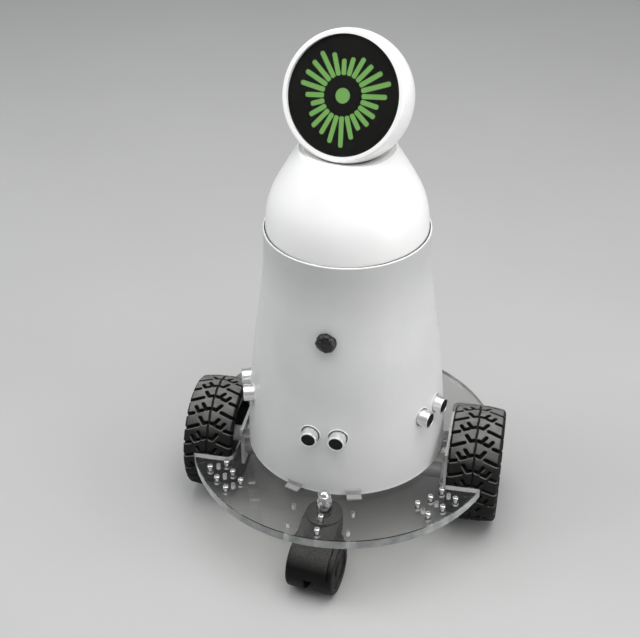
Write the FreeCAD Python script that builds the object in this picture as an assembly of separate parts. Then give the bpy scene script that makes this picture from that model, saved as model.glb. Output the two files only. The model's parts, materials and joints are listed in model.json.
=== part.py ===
"""Two-wheel robot car: clear disc chassis, frosted body shell and a ball head with a round display.

Millimetres. The origin is on the floor, on the body's vertical axis, midway between the drive wheels.
The robot faces -Y and +Z is up, so +X is the robot's own left. One STEP file per separate piece.
"""
import FreeCAD
import Part
import math
import os

# ---- driving dimensions ----
RUN = 0.05                      # radial running clearance of every turning fit

# drive wheels
TYRE_RADIUS = 57.5
TYRE_WIDTH = 50.0
TREAD_EDGE = (55.6, 23.0)       # radius and distance from the middle, where tread meets side wall
BEAD_EDGE = (47.0, 24.0)        # where the side wall turns in to the bead
BEAD_HALF = 20.5                # half width of the tyre where it sits on the rim
WHEEL_X = 132.0                 # wheel centre to the body axis
AXLE_Z = TYRE_RADIUS
RIM_RADIUS = 41.0
RIM_HALF_WIDTH = 21.5
RIM_WALL = 3.5
RIM_WEB = (2.0, 6.0)            # the rim's disc, from the wheel's middle outwards
SHAFT_RADIUS = 3.0
STUD_RADIUS = 2.5
HUB_FLANGE = -12.0              # the hub's hexagon starts here, seen from the wheel's middle
HUB_INNER = -24.0
HEX_ACROSS = 12.0               # drive hexagon, across flats
HEX_DEPTH = 6.0

# base plate
PLATE_RADIUS = 152.0
PLATE_Y = -8.0                  # the disc's centre is a little ahead of the axle
PLATE_TOP = 80.0
PLATE_BOTTOM = 70.0
CUTOUT_X = 102.0                # inner wall of each wheel cut-out
CUTOUT_Y = 65.0                 # half length of each wheel cut-out
CUTOUT_CORNER = 7.0
OPEN_HOLE_RADIUS = 2.1          # free M4 holes for accessories
FRONT_HOLE_X = 28.0
FRONT_HOLE_Y = (-118.5, -143.5)
FRONT_SCREW_Y = (-130.0, -148.0)
SIDE_AZIMUTHS = (42.0, 48.8, 55.6)
SIDE_SCREW_RADII = (128.0, 145.0)
SIDE_HOLE_RADIUS = 136.5        # distance of the open side holes from the body axis
CABLE_HOLE = (28.0, -50.0)
CABLE_HOLE_RADIUS = 6.0

# gear motors, hung under the plate with the output shaft above the motor's own axis
MOTOR_RADIUS = 18.5
SHAFT_OFFSET = 7.0
MOTOR_Z = AXLE_Z - SHAFT_OFFSET
MOTOR_BOSS_RADIUS = 6.0
SHAFT_IN_GEARBOX = 15.0
GEARBOX_LENGTH = 26.0
MOTOR_LENGTH = 60.0             # gearbox and motor can, without the end cap
BRACKET_X = CUTOUT_X + 0.3      # inner face of the upright bracket plate
BRACKET_THICK = 3.0
BRACKET_HALF = 22.0
BRACKET_FOOT_Z = 31.0
LUG_THICK = 4.0
LUG_X = 64.0                    # where the bracket's lugs start
LUG_Y = 12.0                    # inner edge of each lug
BRACKET_SCREWS_X = (72.0, 86.0)
BRACKET_SCREW_Y = 17.0

# castors
CASTOR_Y = 113.0
CASTOR_WHEEL_RADIUS = 25.0
CASTOR_TRAIL = 24.0
CASTOR_YAW = -8.0               # where the front castor points at rest, from straight ahead
CASTOR_GAP = 4.5                # each wheel's inner face to the castor's middle
CASTOR_HALF_WIDTH = 23.0
CASTOR_AXLE_RADIUS = 3.0
CASTOR_WEB_HALF = 4.0
HOOD_HALF_WIDTH = 18.0
HOOD_RADIUS = 29.0
HOOD_THICK = 2.5
HOOD_MOUTH = 10.0               # where the hood's front edge stops, degrees above the axle
DECK_Y = -14.0                  # the sloped deck leaves the housing here
HOUSING_RADIUS = 17.5
HOUSING_FOOT = 50.0
CASTOR_TOP = 65.5
BOLT_RADIUS = 4.0
BOLT_END = 91.5

# body shell: outer radius at five heights, from the plate up to the seam
SEAM_Z = 317.0
SHELL_OUTLINE = ((98.0, 80.0), (94.4, 139.0), (88.4, 198.0), (79.8, 258.0), (76.7, SEAM_Z))
SHELL_WALL = 2.5
SHELL_YAW = -2.5                # the shell sits turned slightly on the plate

# sensors and fittings on the shell
SONAR_Z = 145.0
SONAR_AZIMUTHS = {"front": 0.0, "left_front": 70.0, "left_rear": 144.0,
                  "right_rear": 216.0, "right_front": 290.0}
SONAR_SPACING = 26.0
CAN_RADIUS = 8.0
CAN_FACE = 102.0                # distance of the cans' faces from the body axis
CAN_LENGTH = 15.0
CAN_CLEARANCE = 1.0             # gap between each can and its hole in the shell
MICROPHONE_Z = 243.5
SWITCH_Z = 128.0
SOCKET_Z = 103.0
ROCKER_TILT = 10.0
ROCKER_RADIUS = 7.5
ROCKER_HALF_WIDTH = 5.9
SWITCH_PIVOT_Y = -0.5
SWITCH_BARREL = 9.9             # radius of the part that passes through the wall
SOCKET_BARREL = 5.4
STEM_RADIUS = 5.0
HOLE_CLEARANCE = 0.15

# decks
POST_XY = 47.0
POST_RADIUS = 4.0
MID_DECK = (195.0, 198.0)
MID_DECK_RADIUS = 80.0
UPPER_DECK = (307.0, 311.0)
UPPER_DECK_RADIUS = 73.8
BOARD_Z = MID_DECK[1] + 6.0     # underside of the two circuit boards
BOARD_THICK = 1.6
COMPUTER = ((-42.5, 42.5), (-64.0, -8.0))
CONTROLLER = ((-34.3, 34.3), (7.0, 60.4))
DRIVER = ((-25.0, 25.0), (44.0, 82.0))
DRIVER_Z = PLATE_TOP + 6.0

# battery and its strap
BATTERY = ((-45.0, 45.0), (-35.0, 35.0), (PLATE_TOP, 181.0))
STRAP_HALF = 10.0
STRAP_THICK = 1.5
STRAP_GAP = 0.2
STRAP_END_Y = 50.0
STRAP_SCREW_Y = 43.0

# shoulder dome: outer radius and height of its curved side
DOME_OUTLINE = ((74.0, SEAM_Z), (73.1, 333.0), (69.2, 349.0), (61.3, 365.5), (52.0, 381.5), (43.4, 396.0))
DOME_WALL = 3.0
DOME_GAP = 1.0                  # between the ball and the cup it turns in
CUP_THICK = 5.0
CUP_Z = 386.0                   # foot of the cup
CUP_HOLE = 26.0
CUP_RADIUS = 41.6               # where the cup meets the dome's wall

# head
HEAD_Z = 442.0
HEAD_RADIUS = 56.8
HEAD_WALL = 2.5
HEAD_PAN = -14.0                # rest azimuth of the face
HEAD_TILT = 23.7                # rest elevation of the face
FACE_D = 14.0                   # face plane from the ball's centre
MOUTH_D = 11.0                  # where the head shell ends and the bezel starts
DISPLAY_RADIUS = 51.0
SPIGOT = (DISPLAY_RADIUS - 0.3, 52.8)   # inner and outer radius of the ring inside the shell's mouth
LENS_D = (11.5, 13.0)
PANEL_D = (9.0, 11.5)
FRAME_D = (5.0, 9.0)
SLOT_HALF = 12.0
SLOT_FRONT = 27.0               # slot's front end, degrees from straight down
SLOT_REAR = 18.0
TILT_PIVOT_RADIUS = 2.0

# pan servo, standing in the dome with its horn up
SERVO_TAB_Z = (351.0, 353.5)
SERVO_TOP = 362.0
SPLINE_RADIUS = 2.9
SPLINE_FOOT = 358.5
PAN_HORN_Z = (366.0, 368.0)

# M3 and M4 hardware
M3 = {"shank": 1.5, "hole": 1.6, "head": 2.75, "head_height": 2.2, "nut_across": 5.5, "nut_height": 2.4}
M4 = {"shank": 1.95, "hole": 2.1, "tapped": 2.0, "head": 3.6, "head_height": 2.5}

X_AXIS = FreeCAD.Vector(1, 0, 0)
Z_AXIS = FreeCAD.Vector(0, 0, 1)
ORIGIN = FreeCAD.Vector(0, 0, 0)


# ---- basic shapes ----
def at(x, y, z):
    return FreeCAD.Vector(x, y, z)


def polar(radius, azimuth, z=0.0):
    """Point at an azimuth counted from the front (-Y) towards the robot's left (+X)."""
    angle = math.radians(azimuth)
    return at(radius * math.sin(angle), -radius * math.cos(angle), z)


def rod(radius, start, length, direction=Z_AXIS):
    return Part.makeCylinder(radius, length, start, direction)


def rod_x(radius, x_start, x_end, y=0.0, z=0.0):
    return rod(radius, at(x_start, y, z), x_end - x_start, X_AXIS)


def rod_y(radius, y_start, y_end, x=0.0, z=0.0):
    return rod(radius, at(x, y_start, z), y_end - y_start, at(0, 1, 0))


def block(x, y, z):
    """Box from (low, high) pairs."""
    return Part.makeBox(x[1] - x[0], y[1] - y[0], z[1] - z[0], at(x[0], y[0], z[0]))


def prism_x(outline, x_start, x_end):
    """Closed outline of (y, z) points, extruded along X."""
    points = [at(x_start, y, z) for y, z in outline]
    face = Part.Face(Part.makePolygon(points + points[:1]))
    return face.extrude(at(x_end - x_start, 0, 0))


def hexagon(across, start, length, direction=Z_AXIS):
    """Hexagonal bar, given across its flats, standing on start."""
    radius = across / math.sqrt(3.0)
    corners = [at(radius * math.cos(math.radians(60 * i)), radius * math.sin(math.radians(60 * i)), 0)
               for i in range(7)]
    bar = Part.Face(Part.makePolygon(corners)).extrude(at(0, 0, length))
    bar.Placement = FreeCAD.Placement(start, FreeCAD.Rotation(Z_AXIS, direction))
    return bar


def fused(shapes):
    """One solid from overlapping or touching shapes."""
    return shapes[0].fuse(shapes[1:]).removeSplitter()


def drilled(shape, tools):
    return shape.cut(tools)


def turned(shape, angle, axis=Z_AXIS, centre=ORIGIN):
    result = shape.copy()
    result.rotate(centre, axis, angle)
    return result


def moved(shape, offset):
    result = shape.copy()
    result.translate(offset)
    return result


def spline(points):
    curve = Part.BSplineCurve()
    curve.interpolate([at(radius, 0, z) for radius, z in points])
    return curve


def revolved(edges):
    """Solid of revolution about Z from the closed outline that the edges make in the XZ plane."""
    wire = Part.Wire(Part.__sortEdges__(edges))
    solid = Part.Face(wire).revolve(ORIGIN, Z_AXIS, 360)
    return solid if solid.Volume > 0 else solid.reversed()


def line(start, end):
    return Part.LineSegment(at(start[0], 0, start[1]), at(end[0], 0, end[1])).toShape()


def revolved_wall(outline, thickness, foot=None):
    """Thin wall: the outline's curve outside, the same curve moved in by the thickness inside."""
    inner = [(radius - thickness, z) for radius, z in outline]
    edges = [spline(outline).toShape(), spline(inner).toShape(), line(outline[-1], inner[-1])]
    if foot is None:
        edges.append(line(outline[0], inner[0]))
    else:
        low_outer = (outline[0][0], foot)
        low_inner = (inner[0][0], foot)
        edges += [line(outline[0], low_outer), line(low_outer, low_inner), line(low_inner, inner[0])]
    return revolved(edges)


# ---- where things sit on the body shell ----
def shell_point(z):
    """Radius and slope (degrees back from upright) of the shell's outside at a height."""
    curve = spline(SHELL_OUTLINE)
    low, high = curve.FirstParameter, curve.LastParameter
    for _ in range(40):
        middle = (low + high) / 2
        if curve.value(middle).z < z:
            low = middle
        else:
            high = middle
    tangent = curve.tangent(low)[0]
    return curve.value(low).x, math.degrees(math.atan2(-tangent.x, tangent.z))


def seated(shape, azimuth, z):
    """Put a fitting built along -Y, with its seat at the origin, square on the shell's outside."""
    radius, slope = shell_point(z)
    upright = turned(shape, -slope, X_AXIS)
    return turned(moved(upright, at(0, -radius, z)), azimuth + SHELL_YAW)


# ---- fasteners ----
def pan_screw(size, length, top, up=1):
    """Pan-head screw with its head's underside at the point top; up is -1 for a head below."""
    head = rod(size["head"], top, size["head_height"], at(0, 0, up))
    edge = [e for e in head.Edges if abs(e.CenterOfMass.z - top.z) > size["head_height"] / 2
            and e.Length > size["head"]]
    head = head.makeFillet(size["head_height"] * 0.45, edge[:1])
    socket = hexagon(size["head"] * 0.8, top + at(0, 0, up * size["head_height"]), 1.2, at(0, 0, -up))
    shank = rod(size["shank"], top, length, at(0, 0, -up))
    return fused([head, shank]).cut(socket)


def plate_screw_places():
    places = [at(0, y, PLATE_TOP) for y in FRONT_SCREW_Y]
    for side in (1, -1):
        for azimuth in SIDE_AZIMUTHS:
            places += [polar(radius, side * azimuth, PLATE_TOP) for radius in SIDE_SCREW_RADII]
    return places


def post_places(z):
    return [at(x, y, z) for x in (-POST_XY, POST_XY) for y in (-POST_XY, POST_XY)]


def bracket_screw_places(z):
    return [at(side * x, y, z) for side in (1, -1) for x in BRACKET_SCREWS_X
            for y in (-BRACKET_SCREW_Y, BRACKET_SCREW_Y)]


def strap_screw_places(z):
    return [at(0, y, z) for y in (-STRAP_SCREW_Y, STRAP_SCREW_Y)]


def make_plate_screws():
    return [pan_screw(M3, 13.0, place) for place in plate_screw_places()]


def make_plate_nuts():
    nuts = []
    for place in plate_screw_places():
        start = at(place.x, place.y, PLATE_BOTTOM - M3["nut_height"])
        nut = hexagon(M3["nut_across"], start, M3["nut_height"])
        nuts.append(nut.cut(rod(M3["shank"] + RUN, start, M3["nut_height"])))
    return nuts


def make_m4_screws():
    """Screws of the motor brackets, the battery strap and both ends of the deck posts."""
    screws = [pan_screw(M4, 18.0, place) for place in bracket_screw_places(PLATE_TOP)]
    strap_top = PLATE_TOP + STRAP_THICK
    screws += [pan_screw(M4, 15.0, place) for place in strap_screw_places(strap_top)]
    screws += [pan_screw(M4, 18.0, place, up=-1) for place in post_places(PLATE_BOTTOM)]
    screws += [pan_screw(M4, 12.0, place) for place in post_places(UPPER_DECK[1])]
    return screws


# ---- chassis ----
def wheel_cutout(side):
    x = (CUTOUT_X, PLATE_RADIUS + 20)
    opening = block(x, (-CUTOUT_Y, CUTOUT_Y), (PLATE_BOTTOM - 1, PLATE_TOP + 1))
    corners = [e for e in opening.Edges if abs(e.CenterOfMass.x - CUTOUT_X) < 1e-6
               and abs(e.CenterOfMass.y) > CUTOUT_Y - 1e-6 and e.Length < 13]
    opening = opening.makeFillet(CUTOUT_CORNER, corners)
    return opening if side > 0 else turned(opening, 180)


def open_hole_places(z):
    places = [at(x, y, z) for x in (-FRONT_HOLE_X, FRONT_HOLE_X) for y in FRONT_HOLE_Y]
    places += [polar(SIDE_HOLE_RADIUS, side * azimuth, z) for side in (1, -1) for azimuth in SIDE_AZIMUTHS]
    return places


def make_base_plate():
    thickness = PLATE_TOP - PLATE_BOTTOM
    disc = rod(PLATE_RADIUS, at(0, PLATE_Y, PLATE_BOTTOM), thickness)
    disc = disc.makeChamfer(0.6, disc.Edges[:1] + disc.Edges[2:3])
    holes = [rod(OPEN_HOLE_RADIUS, place, thickness) for place in open_hole_places(PLATE_BOTTOM)]
    holes += [rod(M3["hole"], at(p.x, p.y, PLATE_BOTTOM), thickness) for p in plate_screw_places()]
    m4_places = post_places(PLATE_BOTTOM) + bracket_screw_places(PLATE_BOTTOM)
    m4_places += strap_screw_places(PLATE_BOTTOM)
    holes += [rod(M4["hole"], place, thickness) for place in m4_places]
    holes += [rod(BOLT_RADIUS + 0.1, at(0, y, PLATE_BOTTOM), thickness) for y in (-CASTOR_Y, CASTOR_Y)]
    holes.append(rod(CABLE_HOLE_RADIUS, at(CABLE_HOLE[0], CABLE_HOLE[1], PLATE_BOTTOM), thickness))
    return drilled(disc, [wheel_cutout(1), wheel_cutout(-1)] + holes)


def make_motor():
    """Left gear motor: gearbox, motor can, end cap and the boss round its output shaft."""
    can_end = BRACKET_X - MOTOR_LENGTH
    gearbox = rod_x(MOTOR_RADIUS, BRACKET_X - GEARBOX_LENGTH, BRACKET_X, z=MOTOR_Z)
    can = rod_x(MOTOR_RADIUS - 1.0, can_end, BRACKET_X - GEARBOX_LENGTH, z=MOTOR_Z)
    cap = rod_x(MOTOR_RADIUS - 3.0, can_end - 8, can_end, z=MOTOR_Z)
    boss = rod_x(MOTOR_BOSS_RADIUS, BRACKET_X, BRACKET_X + BRACKET_THICK + 0.5, z=AXLE_Z)
    bore = rod_x(SHAFT_RADIUS + RUN, BRACKET_X - SHAFT_IN_GEARBOX - 1, BRACKET_X + 10, z=AXLE_Z)
    return fused([gearbox, can, cap, boss]).cut(bore)


def make_motor_bracket():
    """Left bracket: upright plate outside the cut-out's wall, and two lugs under the base plate."""
    outer_face = BRACKET_X + BRACKET_THICK
    upright = block((BRACKET_X, outer_face), (-BRACKET_HALF, BRACKET_HALF), (BRACKET_FOOT_Z, PLATE_TOP))
    lug_z = (PLATE_BOTTOM - LUG_THICK, PLATE_BOTTOM)
    lugs = [block((LUG_X, BRACKET_X), (LUG_Y, BRACKET_HALF), lug_z),
            block((LUG_X, BRACKET_X), (-BRACKET_HALF, -LUG_Y), lug_z)]
    holes = [rod_x(MOTOR_BOSS_RADIUS + RUN, BRACKET_X - 1, outer_face + 1, z=AXLE_Z)]
    holes += [rod(M4["tapped"], at(p.x, p.y, lug_z[0] - 1), LUG_THICK + 2)
              for p in bracket_screw_places(PLATE_BOTTOM) if p.x > 0]
    return fused([upright] + lugs).cut(holes)


# ---- drive wheels, built for the left side with the hub's centre at the origin ----
def make_tyre():
    """Tyre with a crowned tread and short bulging side walls."""
    half = TYRE_WIDTH / 2
    wall_radius = (TREAD_EDGE[0] + BEAD_EDGE[0]) / 2

    def side_wall(sign):
        return Part.Arc(at(BEAD_EDGE[0], 0, sign * BEAD_EDGE[1]), at(wall_radius, 0, sign * half),
                        at(TREAD_EDGE[0], 0, sign * TREAD_EDGE[1])).toShape()

    tread = Part.Arc(at(TREAD_EDGE[0], 0, -TREAD_EDGE[1]), at(TYRE_RADIUS, 0, 0),
                     at(TREAD_EDGE[0], 0, TREAD_EDGE[1])).toShape()
    seat = RIM_RADIUS + RUN
    beads = [line((seat, sign * BEAD_HALF), (BEAD_EDGE[0], sign * BEAD_EDGE[1])) for sign in (-1, 1)]
    edges = [side_wall(-1), tread, side_wall(1), line((seat, -BEAD_HALF), (seat, BEAD_HALF))] + beads
    return turned(revolved(edges), 90, at(0, 1, 0))


def make_wheel_rim():
    """Barrel with a lip at each end, a disc with six round windows, and a boss with a hexagon pocket."""
    half = RIM_HALF_WIDTH
    barrel = rod_x(RIM_RADIUS, -half, half).cut(rod_x(RIM_RADIUS - RIM_WALL, -half, half))
    lips = [rod_x(RIM_RADIUS, x, x + 1.5).cut(rod_x(RIM_RADIUS - RIM_WALL - 1.5, x, x + 1.5))
            for x in (-half, half - 1.5)]
    web = rod_x(RIM_RADIUS - 2, *RIM_WEB)
    boss = rod_x(11, HUB_FLANGE, RIM_WEB[1] + 2)
    windows = [turned(rod_x(8, RIM_WEB[0] - 1, RIM_WEB[1] + 1, z=24), 60 * i, X_AXIS) for i in range(6)]
    pocket = hexagon(HEX_ACROSS + 2 * RUN, at(HUB_FLANGE, 0, 0), HEX_DEPTH, X_AXIS)
    bore = rod_x(STUD_RADIUS + 0.1, HUB_FLANGE, RIM_WEB[1] + 2)
    return fused([barrel] + lips + [web, boss]).cut(windows + [pocket, bore])


def make_wheel_hub():
    """Collar on the motor shaft, drive hexagon in the rim's pocket and the threaded stud."""
    collar = rod_x(8, HUB_INNER, HUB_FLANGE)
    drive = hexagon(HEX_ACROSS, at(HUB_FLANGE, 0, 0), HEX_DEPTH, X_AXIS)
    stud = rod_x(STUD_RADIUS, HUB_FLANGE + HEX_DEPTH, 15)
    return fused([collar, drive, stud]).cut(rod_x(SHAFT_RADIUS, HUB_INNER, HUB_FLANGE + 2))


def make_hub_nut():
    face = RIM_WEB[1] + 2
    washer = rod_x(6, face, face + 1)
    nut = hexagon(8, at(face + 1, 0, 0), 4.5, X_AXIS)
    return fused([washer, nut]).cut(rod_x(STUD_RADIUS + RUN, face, face + 6))


def make_drive_shaft():
    inner_end = BRACKET_X - SHAFT_IN_GEARBOX - WHEEL_X
    return rod_x(SHAFT_RADIUS, inner_end, HUB_FLANGE + 1.8)


def wheel_piece(shape, side):
    return moved(shape if side > 0 else turned(shape, 180), at(side * WHEEL_X, 0, AXLE_Z))


# ---- castors, built with the swivel axis on Z, trailing towards -Y ----
def make_castor_hood():
    """Hooded body: arch over the wheels, sloped deck up to the swivel housing, middle web and axle boss."""
    axle_y, axle_z = -CASTOR_TRAIL, CASTOR_WHEEL_RADIUS
    width = (-HOOD_HALF_WIDTH, HOOD_HALF_WIDTH)
    deck_z = CASTOR_TOP - 1.5
    reach = math.hypot(DECK_Y - axle_y, deck_z - axle_z)
    slope = math.atan2(deck_z - axle_z, DECK_Y - axle_y) + math.acos(HOOD_RADIUS / reach)
    touch = (axle_y + HOOD_RADIUS * math.cos(slope), axle_z + HOOD_RADIUS * math.sin(slope))
    deck = prism_x([(0, deck_z), (DECK_Y, deck_z), touch, (axle_y, axle_z), (0, HOUSING_FOOT)], *width)
    arch = rod_x(HOOD_RADIUS, *width, axle_y, axle_z)
    rise = 2 * HOOD_RADIUS * math.tan(math.radians(HOOD_MOUTH))
    far = axle_y - 2 * HOOD_RADIUS
    mouth = prism_x([(axle_y, axle_z), (far, axle_z + rise), (far, -20), (40, -20), (40, axle_z + 10)],
                    width[0] - 1, width[1] + 1)
    housing = rod(HOUSING_RADIUS, at(0, 0, HOUSING_FOOT), CASTOR_TOP - HOUSING_FOOT)
    wheel_room = rod_x(HOOD_RADIUS - HOOD_THICK, -30, 30, axle_y, axle_z)
    cover = fused([arch.cut(mouth), deck, housing]).cut(wheel_room)
    web = prism_x([(axle_y - 7, axle_z - 6), (axle_y - 12, axle_z + 26), (0, CASTOR_TOP - 6),
                   (15, CASTOR_TOP - 10), (axle_y + 8, axle_z - 6)], -CASTOR_WEB_HALF, CASTOR_WEB_HALF)
    boss = rod_x(8, -CASTOR_WEB_HALF, CASTOR_WEB_HALF, axle_y, axle_z)
    bolt_hole = rod(BOLT_RADIUS + RUN, at(0, 0, HOUSING_FOOT + 1), 20)
    axle_hole = rod_x(CASTOR_AXLE_RADIUS, -5, 5, axle_y, axle_z)
    return fused([cover, web, boss]).cut([bolt_hole, axle_hole])


def make_castor_axle():
    half = CASTOR_HALF_WIDTH - 2
    return rod_x(CASTOR_AXLE_RADIUS, -half, half, -CASTOR_TRAIL, CASTOR_WHEEL_RADIUS)


def make_castor_wheel(side):
    """One of the twin wheels: rounded tread edges, a recessed face and the axle's bore."""
    wheel = rod_x(CASTOR_WHEEL_RADIUS, CASTOR_GAP, CASTOR_HALF_WIDTH)
    rims = [e for e in wheel.Edges if e.Length > 4 * CASTOR_WHEEL_RADIUS]
    wheel = wheel.makeFillet(2.5, rims)
    recess = rod_x(18, CASTOR_HALF_WIDTH - 2, CASTOR_HALF_WIDTH)
    wheel = wheel.cut([recess, rod_x(CASTOR_AXLE_RADIUS + RUN, 0, CASTOR_HALF_WIDTH)])
    if side < 0:
        wheel = turned(wheel, 180)
    return moved(wheel, at(0, -CASTOR_TRAIL, CASTOR_WHEEL_RADIUS))


def castor_piece(shape, end):
    """Front castor at its rest yaw; the rear one is the same turned half round the body axis."""
    front = moved(turned(shape, CASTOR_YAW), at(0, -CASTOR_Y, 0))
    return front if end == "front" else turned(front, 180)


def make_castor_bolt():
    """Bolt with the collar that carries the plate on the swivel housing."""
    foot = HOUSING_FOOT + 1.5
    collar_z = CASTOR_TOP + 0.5
    return fused([rod(BOLT_RADIUS, at(0, 0, foot), BOLT_END - foot),
                  rod(7.5, at(0, 0, collar_z), PLATE_BOTTOM - collar_z)])


def make_castor_nuts():
    """Spacer, washer and cap nut stacked on the plate, round one castor bolt."""
    bore = rod(BOLT_RADIUS + RUN, at(0, 0, PLATE_TOP), BOLT_END + 0.1 - PLATE_TOP)
    spacer = rod(7.0, at(0, 0, PLATE_TOP), 4.8)
    washer = rod(5.2, at(0, 0, PLATE_TOP + 4.8), 1.4)
    nut_foot = PLATE_TOP + 6.2
    cap = hexagon(11.5, at(0, 0, nut_foot), 6.0)
    dome_room = block((-8, 8), (-8, 8), (nut_foot + 5.5, nut_foot + 12))
    dome = Part.makeSphere(5.4, at(0, 0, nut_foot + 4.8)).common(dome_room)
    return [spacer.cut(bore), washer.cut(bore), fused([cap, dome]).cut(bore)]


# ---- power and electronics ----
def make_battery():
    """Sealed block with two flat terminals on top."""
    case = block(*BATTERY)
    case = case.makeFillet(3.0, [e for e in case.Edges if abs(e.tangentAt(0).z) > 0.9])
    top = BATTERY[2][1]
    terminals = [block((x, x + 5), (22, 30), (top, top + 6)) for x in (-36, 31)]
    return fused([case] + terminals)


def make_battery_strap():
    """Strap over the battery, bent out to a foot with a screw hole on each side."""
    inner_y = BATTERY[1][1] + STRAP_GAP
    outer_y = inner_y + STRAP_THICK
    top = BATTERY[2][1] + STRAP_GAP
    foot_top = PLATE_TOP + STRAP_THICK
    inside = [(STRAP_END_Y, PLATE_TOP), (inner_y, PLATE_TOP), (inner_y, top)]
    outside = [(outer_y, top + STRAP_THICK), (outer_y, foot_top), (STRAP_END_Y, foot_top)]
    under = inside + [(-y, z) for y, z in inside[::-1]]
    over = [(-y, z) for y, z in outside[::-1]] + outside
    strap = prism_x(under + over, -STRAP_HALF, STRAP_HALF)
    return strap.cut([rod(M4["hole"], place, 10) for place in strap_screw_places(PLATE_TOP - 2)])


def make_motor_driver_board():
    """Driver board with a finned heat sink and two screw terminals."""
    top = DRIVER_Z + BOARD_THICK
    sink_y = (50, 74)
    base_top = top + 3.4
    board = block(*DRIVER, (DRIVER_Z, top))
    heat_sink = [block((-14, 14), sink_y, (top, base_top))]
    heat_sink += [block((x, x + 2), sink_y, (base_top, base_top + 17)) for x in range(-14, 14, 4)]
    terminals = [block((x, x + 9), (75, 81), (top, top + 9.4)) for x in (-24, 15)]
    return fused([board] + heat_sink + terminals)


def make_computer_board():
    top = BOARD_Z + BOARD_THICK
    board = block(COMPUTER[0], COMPUTER[1], (BOARD_Z, top))
    ports = [block((25, 42.5), (y, y + 14), (top, top + 14)) for y in (-62, -44, -26)]
    chips = [block((-10, 5), (-45, -30), (top, top + 2)), block((-30, -18), (-48, -36), (top, top + 1.5))]
    pins = block((-38, 12), (-14, -9), (top, top + 8))
    return fused([board, pins] + ports + chips)


def make_controller_board():
    top = BOARD_Z + BOARD_THICK
    board = block(CONTROLLER[0], CONTROLLER[1], (BOARD_Z, top))
    plugs = [block((-34.3, -20), (12, 24), (top, top + 11)), block((-34.3, -21), (44, 53), (top, top + 11))]
    chip = block((0, 22), (28, 38), (top, top + 4))
    headers = [block((-16, 30), (y, y + 2.5), (top, top + 8.5)) for y in (8.5, 56)]
    return fused([board, chip] + plugs + headers)


def make_board_spacers():
    """Round spacers under the corners of the three boards."""
    spacers = []
    for (low_x, high_x), (low_y, high_y) in (COMPUTER, CONTROLLER):
        for x in (low_x + 4, high_x - 4):
            spacers += [rod(3, at(x, y, MID_DECK[1]), BOARD_Z - MID_DECK[1]) for y in (low_y + 4, high_y - 4)]
    (low_x, high_x), (low_y, high_y) = DRIVER
    for x in (low_x + 4, high_x - 4):
        spacers += [rod(3, at(x, y, PLATE_TOP), DRIVER_Z - PLATE_TOP) for y in (low_y + 4, high_y - 4)]
    return spacers


# ---- decks and posts ----
def make_mid_deck():
    disc = rod(MID_DECK_RADIUS, at(0, 0, MID_DECK[0]), MID_DECK[1] - MID_DECK[0])
    holes = [rod(M4["hole"], place, 5) for place in post_places(MID_DECK[0] - 1)]
    cable_slots = [block((-15, 15), (-3, 3), (MID_DECK[0], MID_DECK[1]))]
    return drilled(disc, holes + cable_slots)


def make_upper_deck():
    disc = rod(UPPER_DECK_RADIUS, at(0, 0, UPPER_DECK[0]), UPPER_DECK[1] - UPPER_DECK[0])
    holes = [rod(M4["hole"], place, 6) for place in post_places(UPPER_DECK[0] - 1)]
    return drilled(disc, holes + [rod(8, at(0, 45, UPPER_DECK[0] - 1), 6)])


def make_deck_posts():
    """Four lower posts, and four upper posts whose studs pass through the middle deck."""
    posts = []
    tapped_depth = 12
    for place in post_places(PLATE_TOP):
        lower = rod(POST_RADIUS, place, MID_DECK[0] - PLATE_TOP)
        top = at(place.x, place.y, MID_DECK[0] - tapped_depth)
        posts.append(lower.cut([rod(M4["tapped"], end, tapped_depth) for end in (place, top)]))
    for place in post_places(MID_DECK[1]):
        upper = rod(POST_RADIUS, place, UPPER_DECK[0] - MID_DECK[1])
        stud = rod(M4["shank"], place - at(0, 0, tapped_depth - 1), tapped_depth - 1)
        top = at(place.x, place.y, UPPER_DECK[0] - tapped_depth)
        posts.append(fused([upper, stud]).cut(rod(M4["tapped"], top, tapped_depth)))
    return posts


# ---- body shell and what sits in it ----
def sonar_piece(shape, name):
    return turned(shape, SONAR_AZIMUTHS[name] + SHELL_YAW)


def make_sonar_cans():
    """Transmitter and receiver cans of one sensor, facing the front."""
    cans = []
    for x in (-SONAR_SPACING / 2, SONAR_SPACING / 2):
        can = rod_y(CAN_RADIUS, -CAN_FACE, -CAN_FACE + CAN_LENGTH, x, SONAR_Z)
        cans.append(can.cut(rod_y(CAN_RADIUS - 1.5, -CAN_FACE, -CAN_FACE + 1.0, x, SONAR_Z)))
    return cans


def make_sonar_board():
    back = -CAN_FACE + CAN_LENGTH
    board = block((-22.5, 22.5), (back, back + 1.6), (SONAR_Z - 10, SONAR_Z + 10))
    pins = block((-5, 5), (back + 1.6, back + 9), (SONAR_Z - 9.5, SONAR_Z - 7))
    return fused([board, pins])


def switch_body():
    return fused([rod_y(11.5, -2.05, -RUN), rod_y(SWITCH_BARREL, -RUN, 14)])


def make_switch_housing():
    pocket_half = ROCKER_HALF_WIDTH + HOLE_CLEARANCE
    pocket = rod_x(ROCKER_RADIUS + 0.1, -pocket_half, pocket_half, y=SWITCH_PIVOT_Y)
    return seated(switch_body().cut(pocket), 180, SWITCH_Z)


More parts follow.
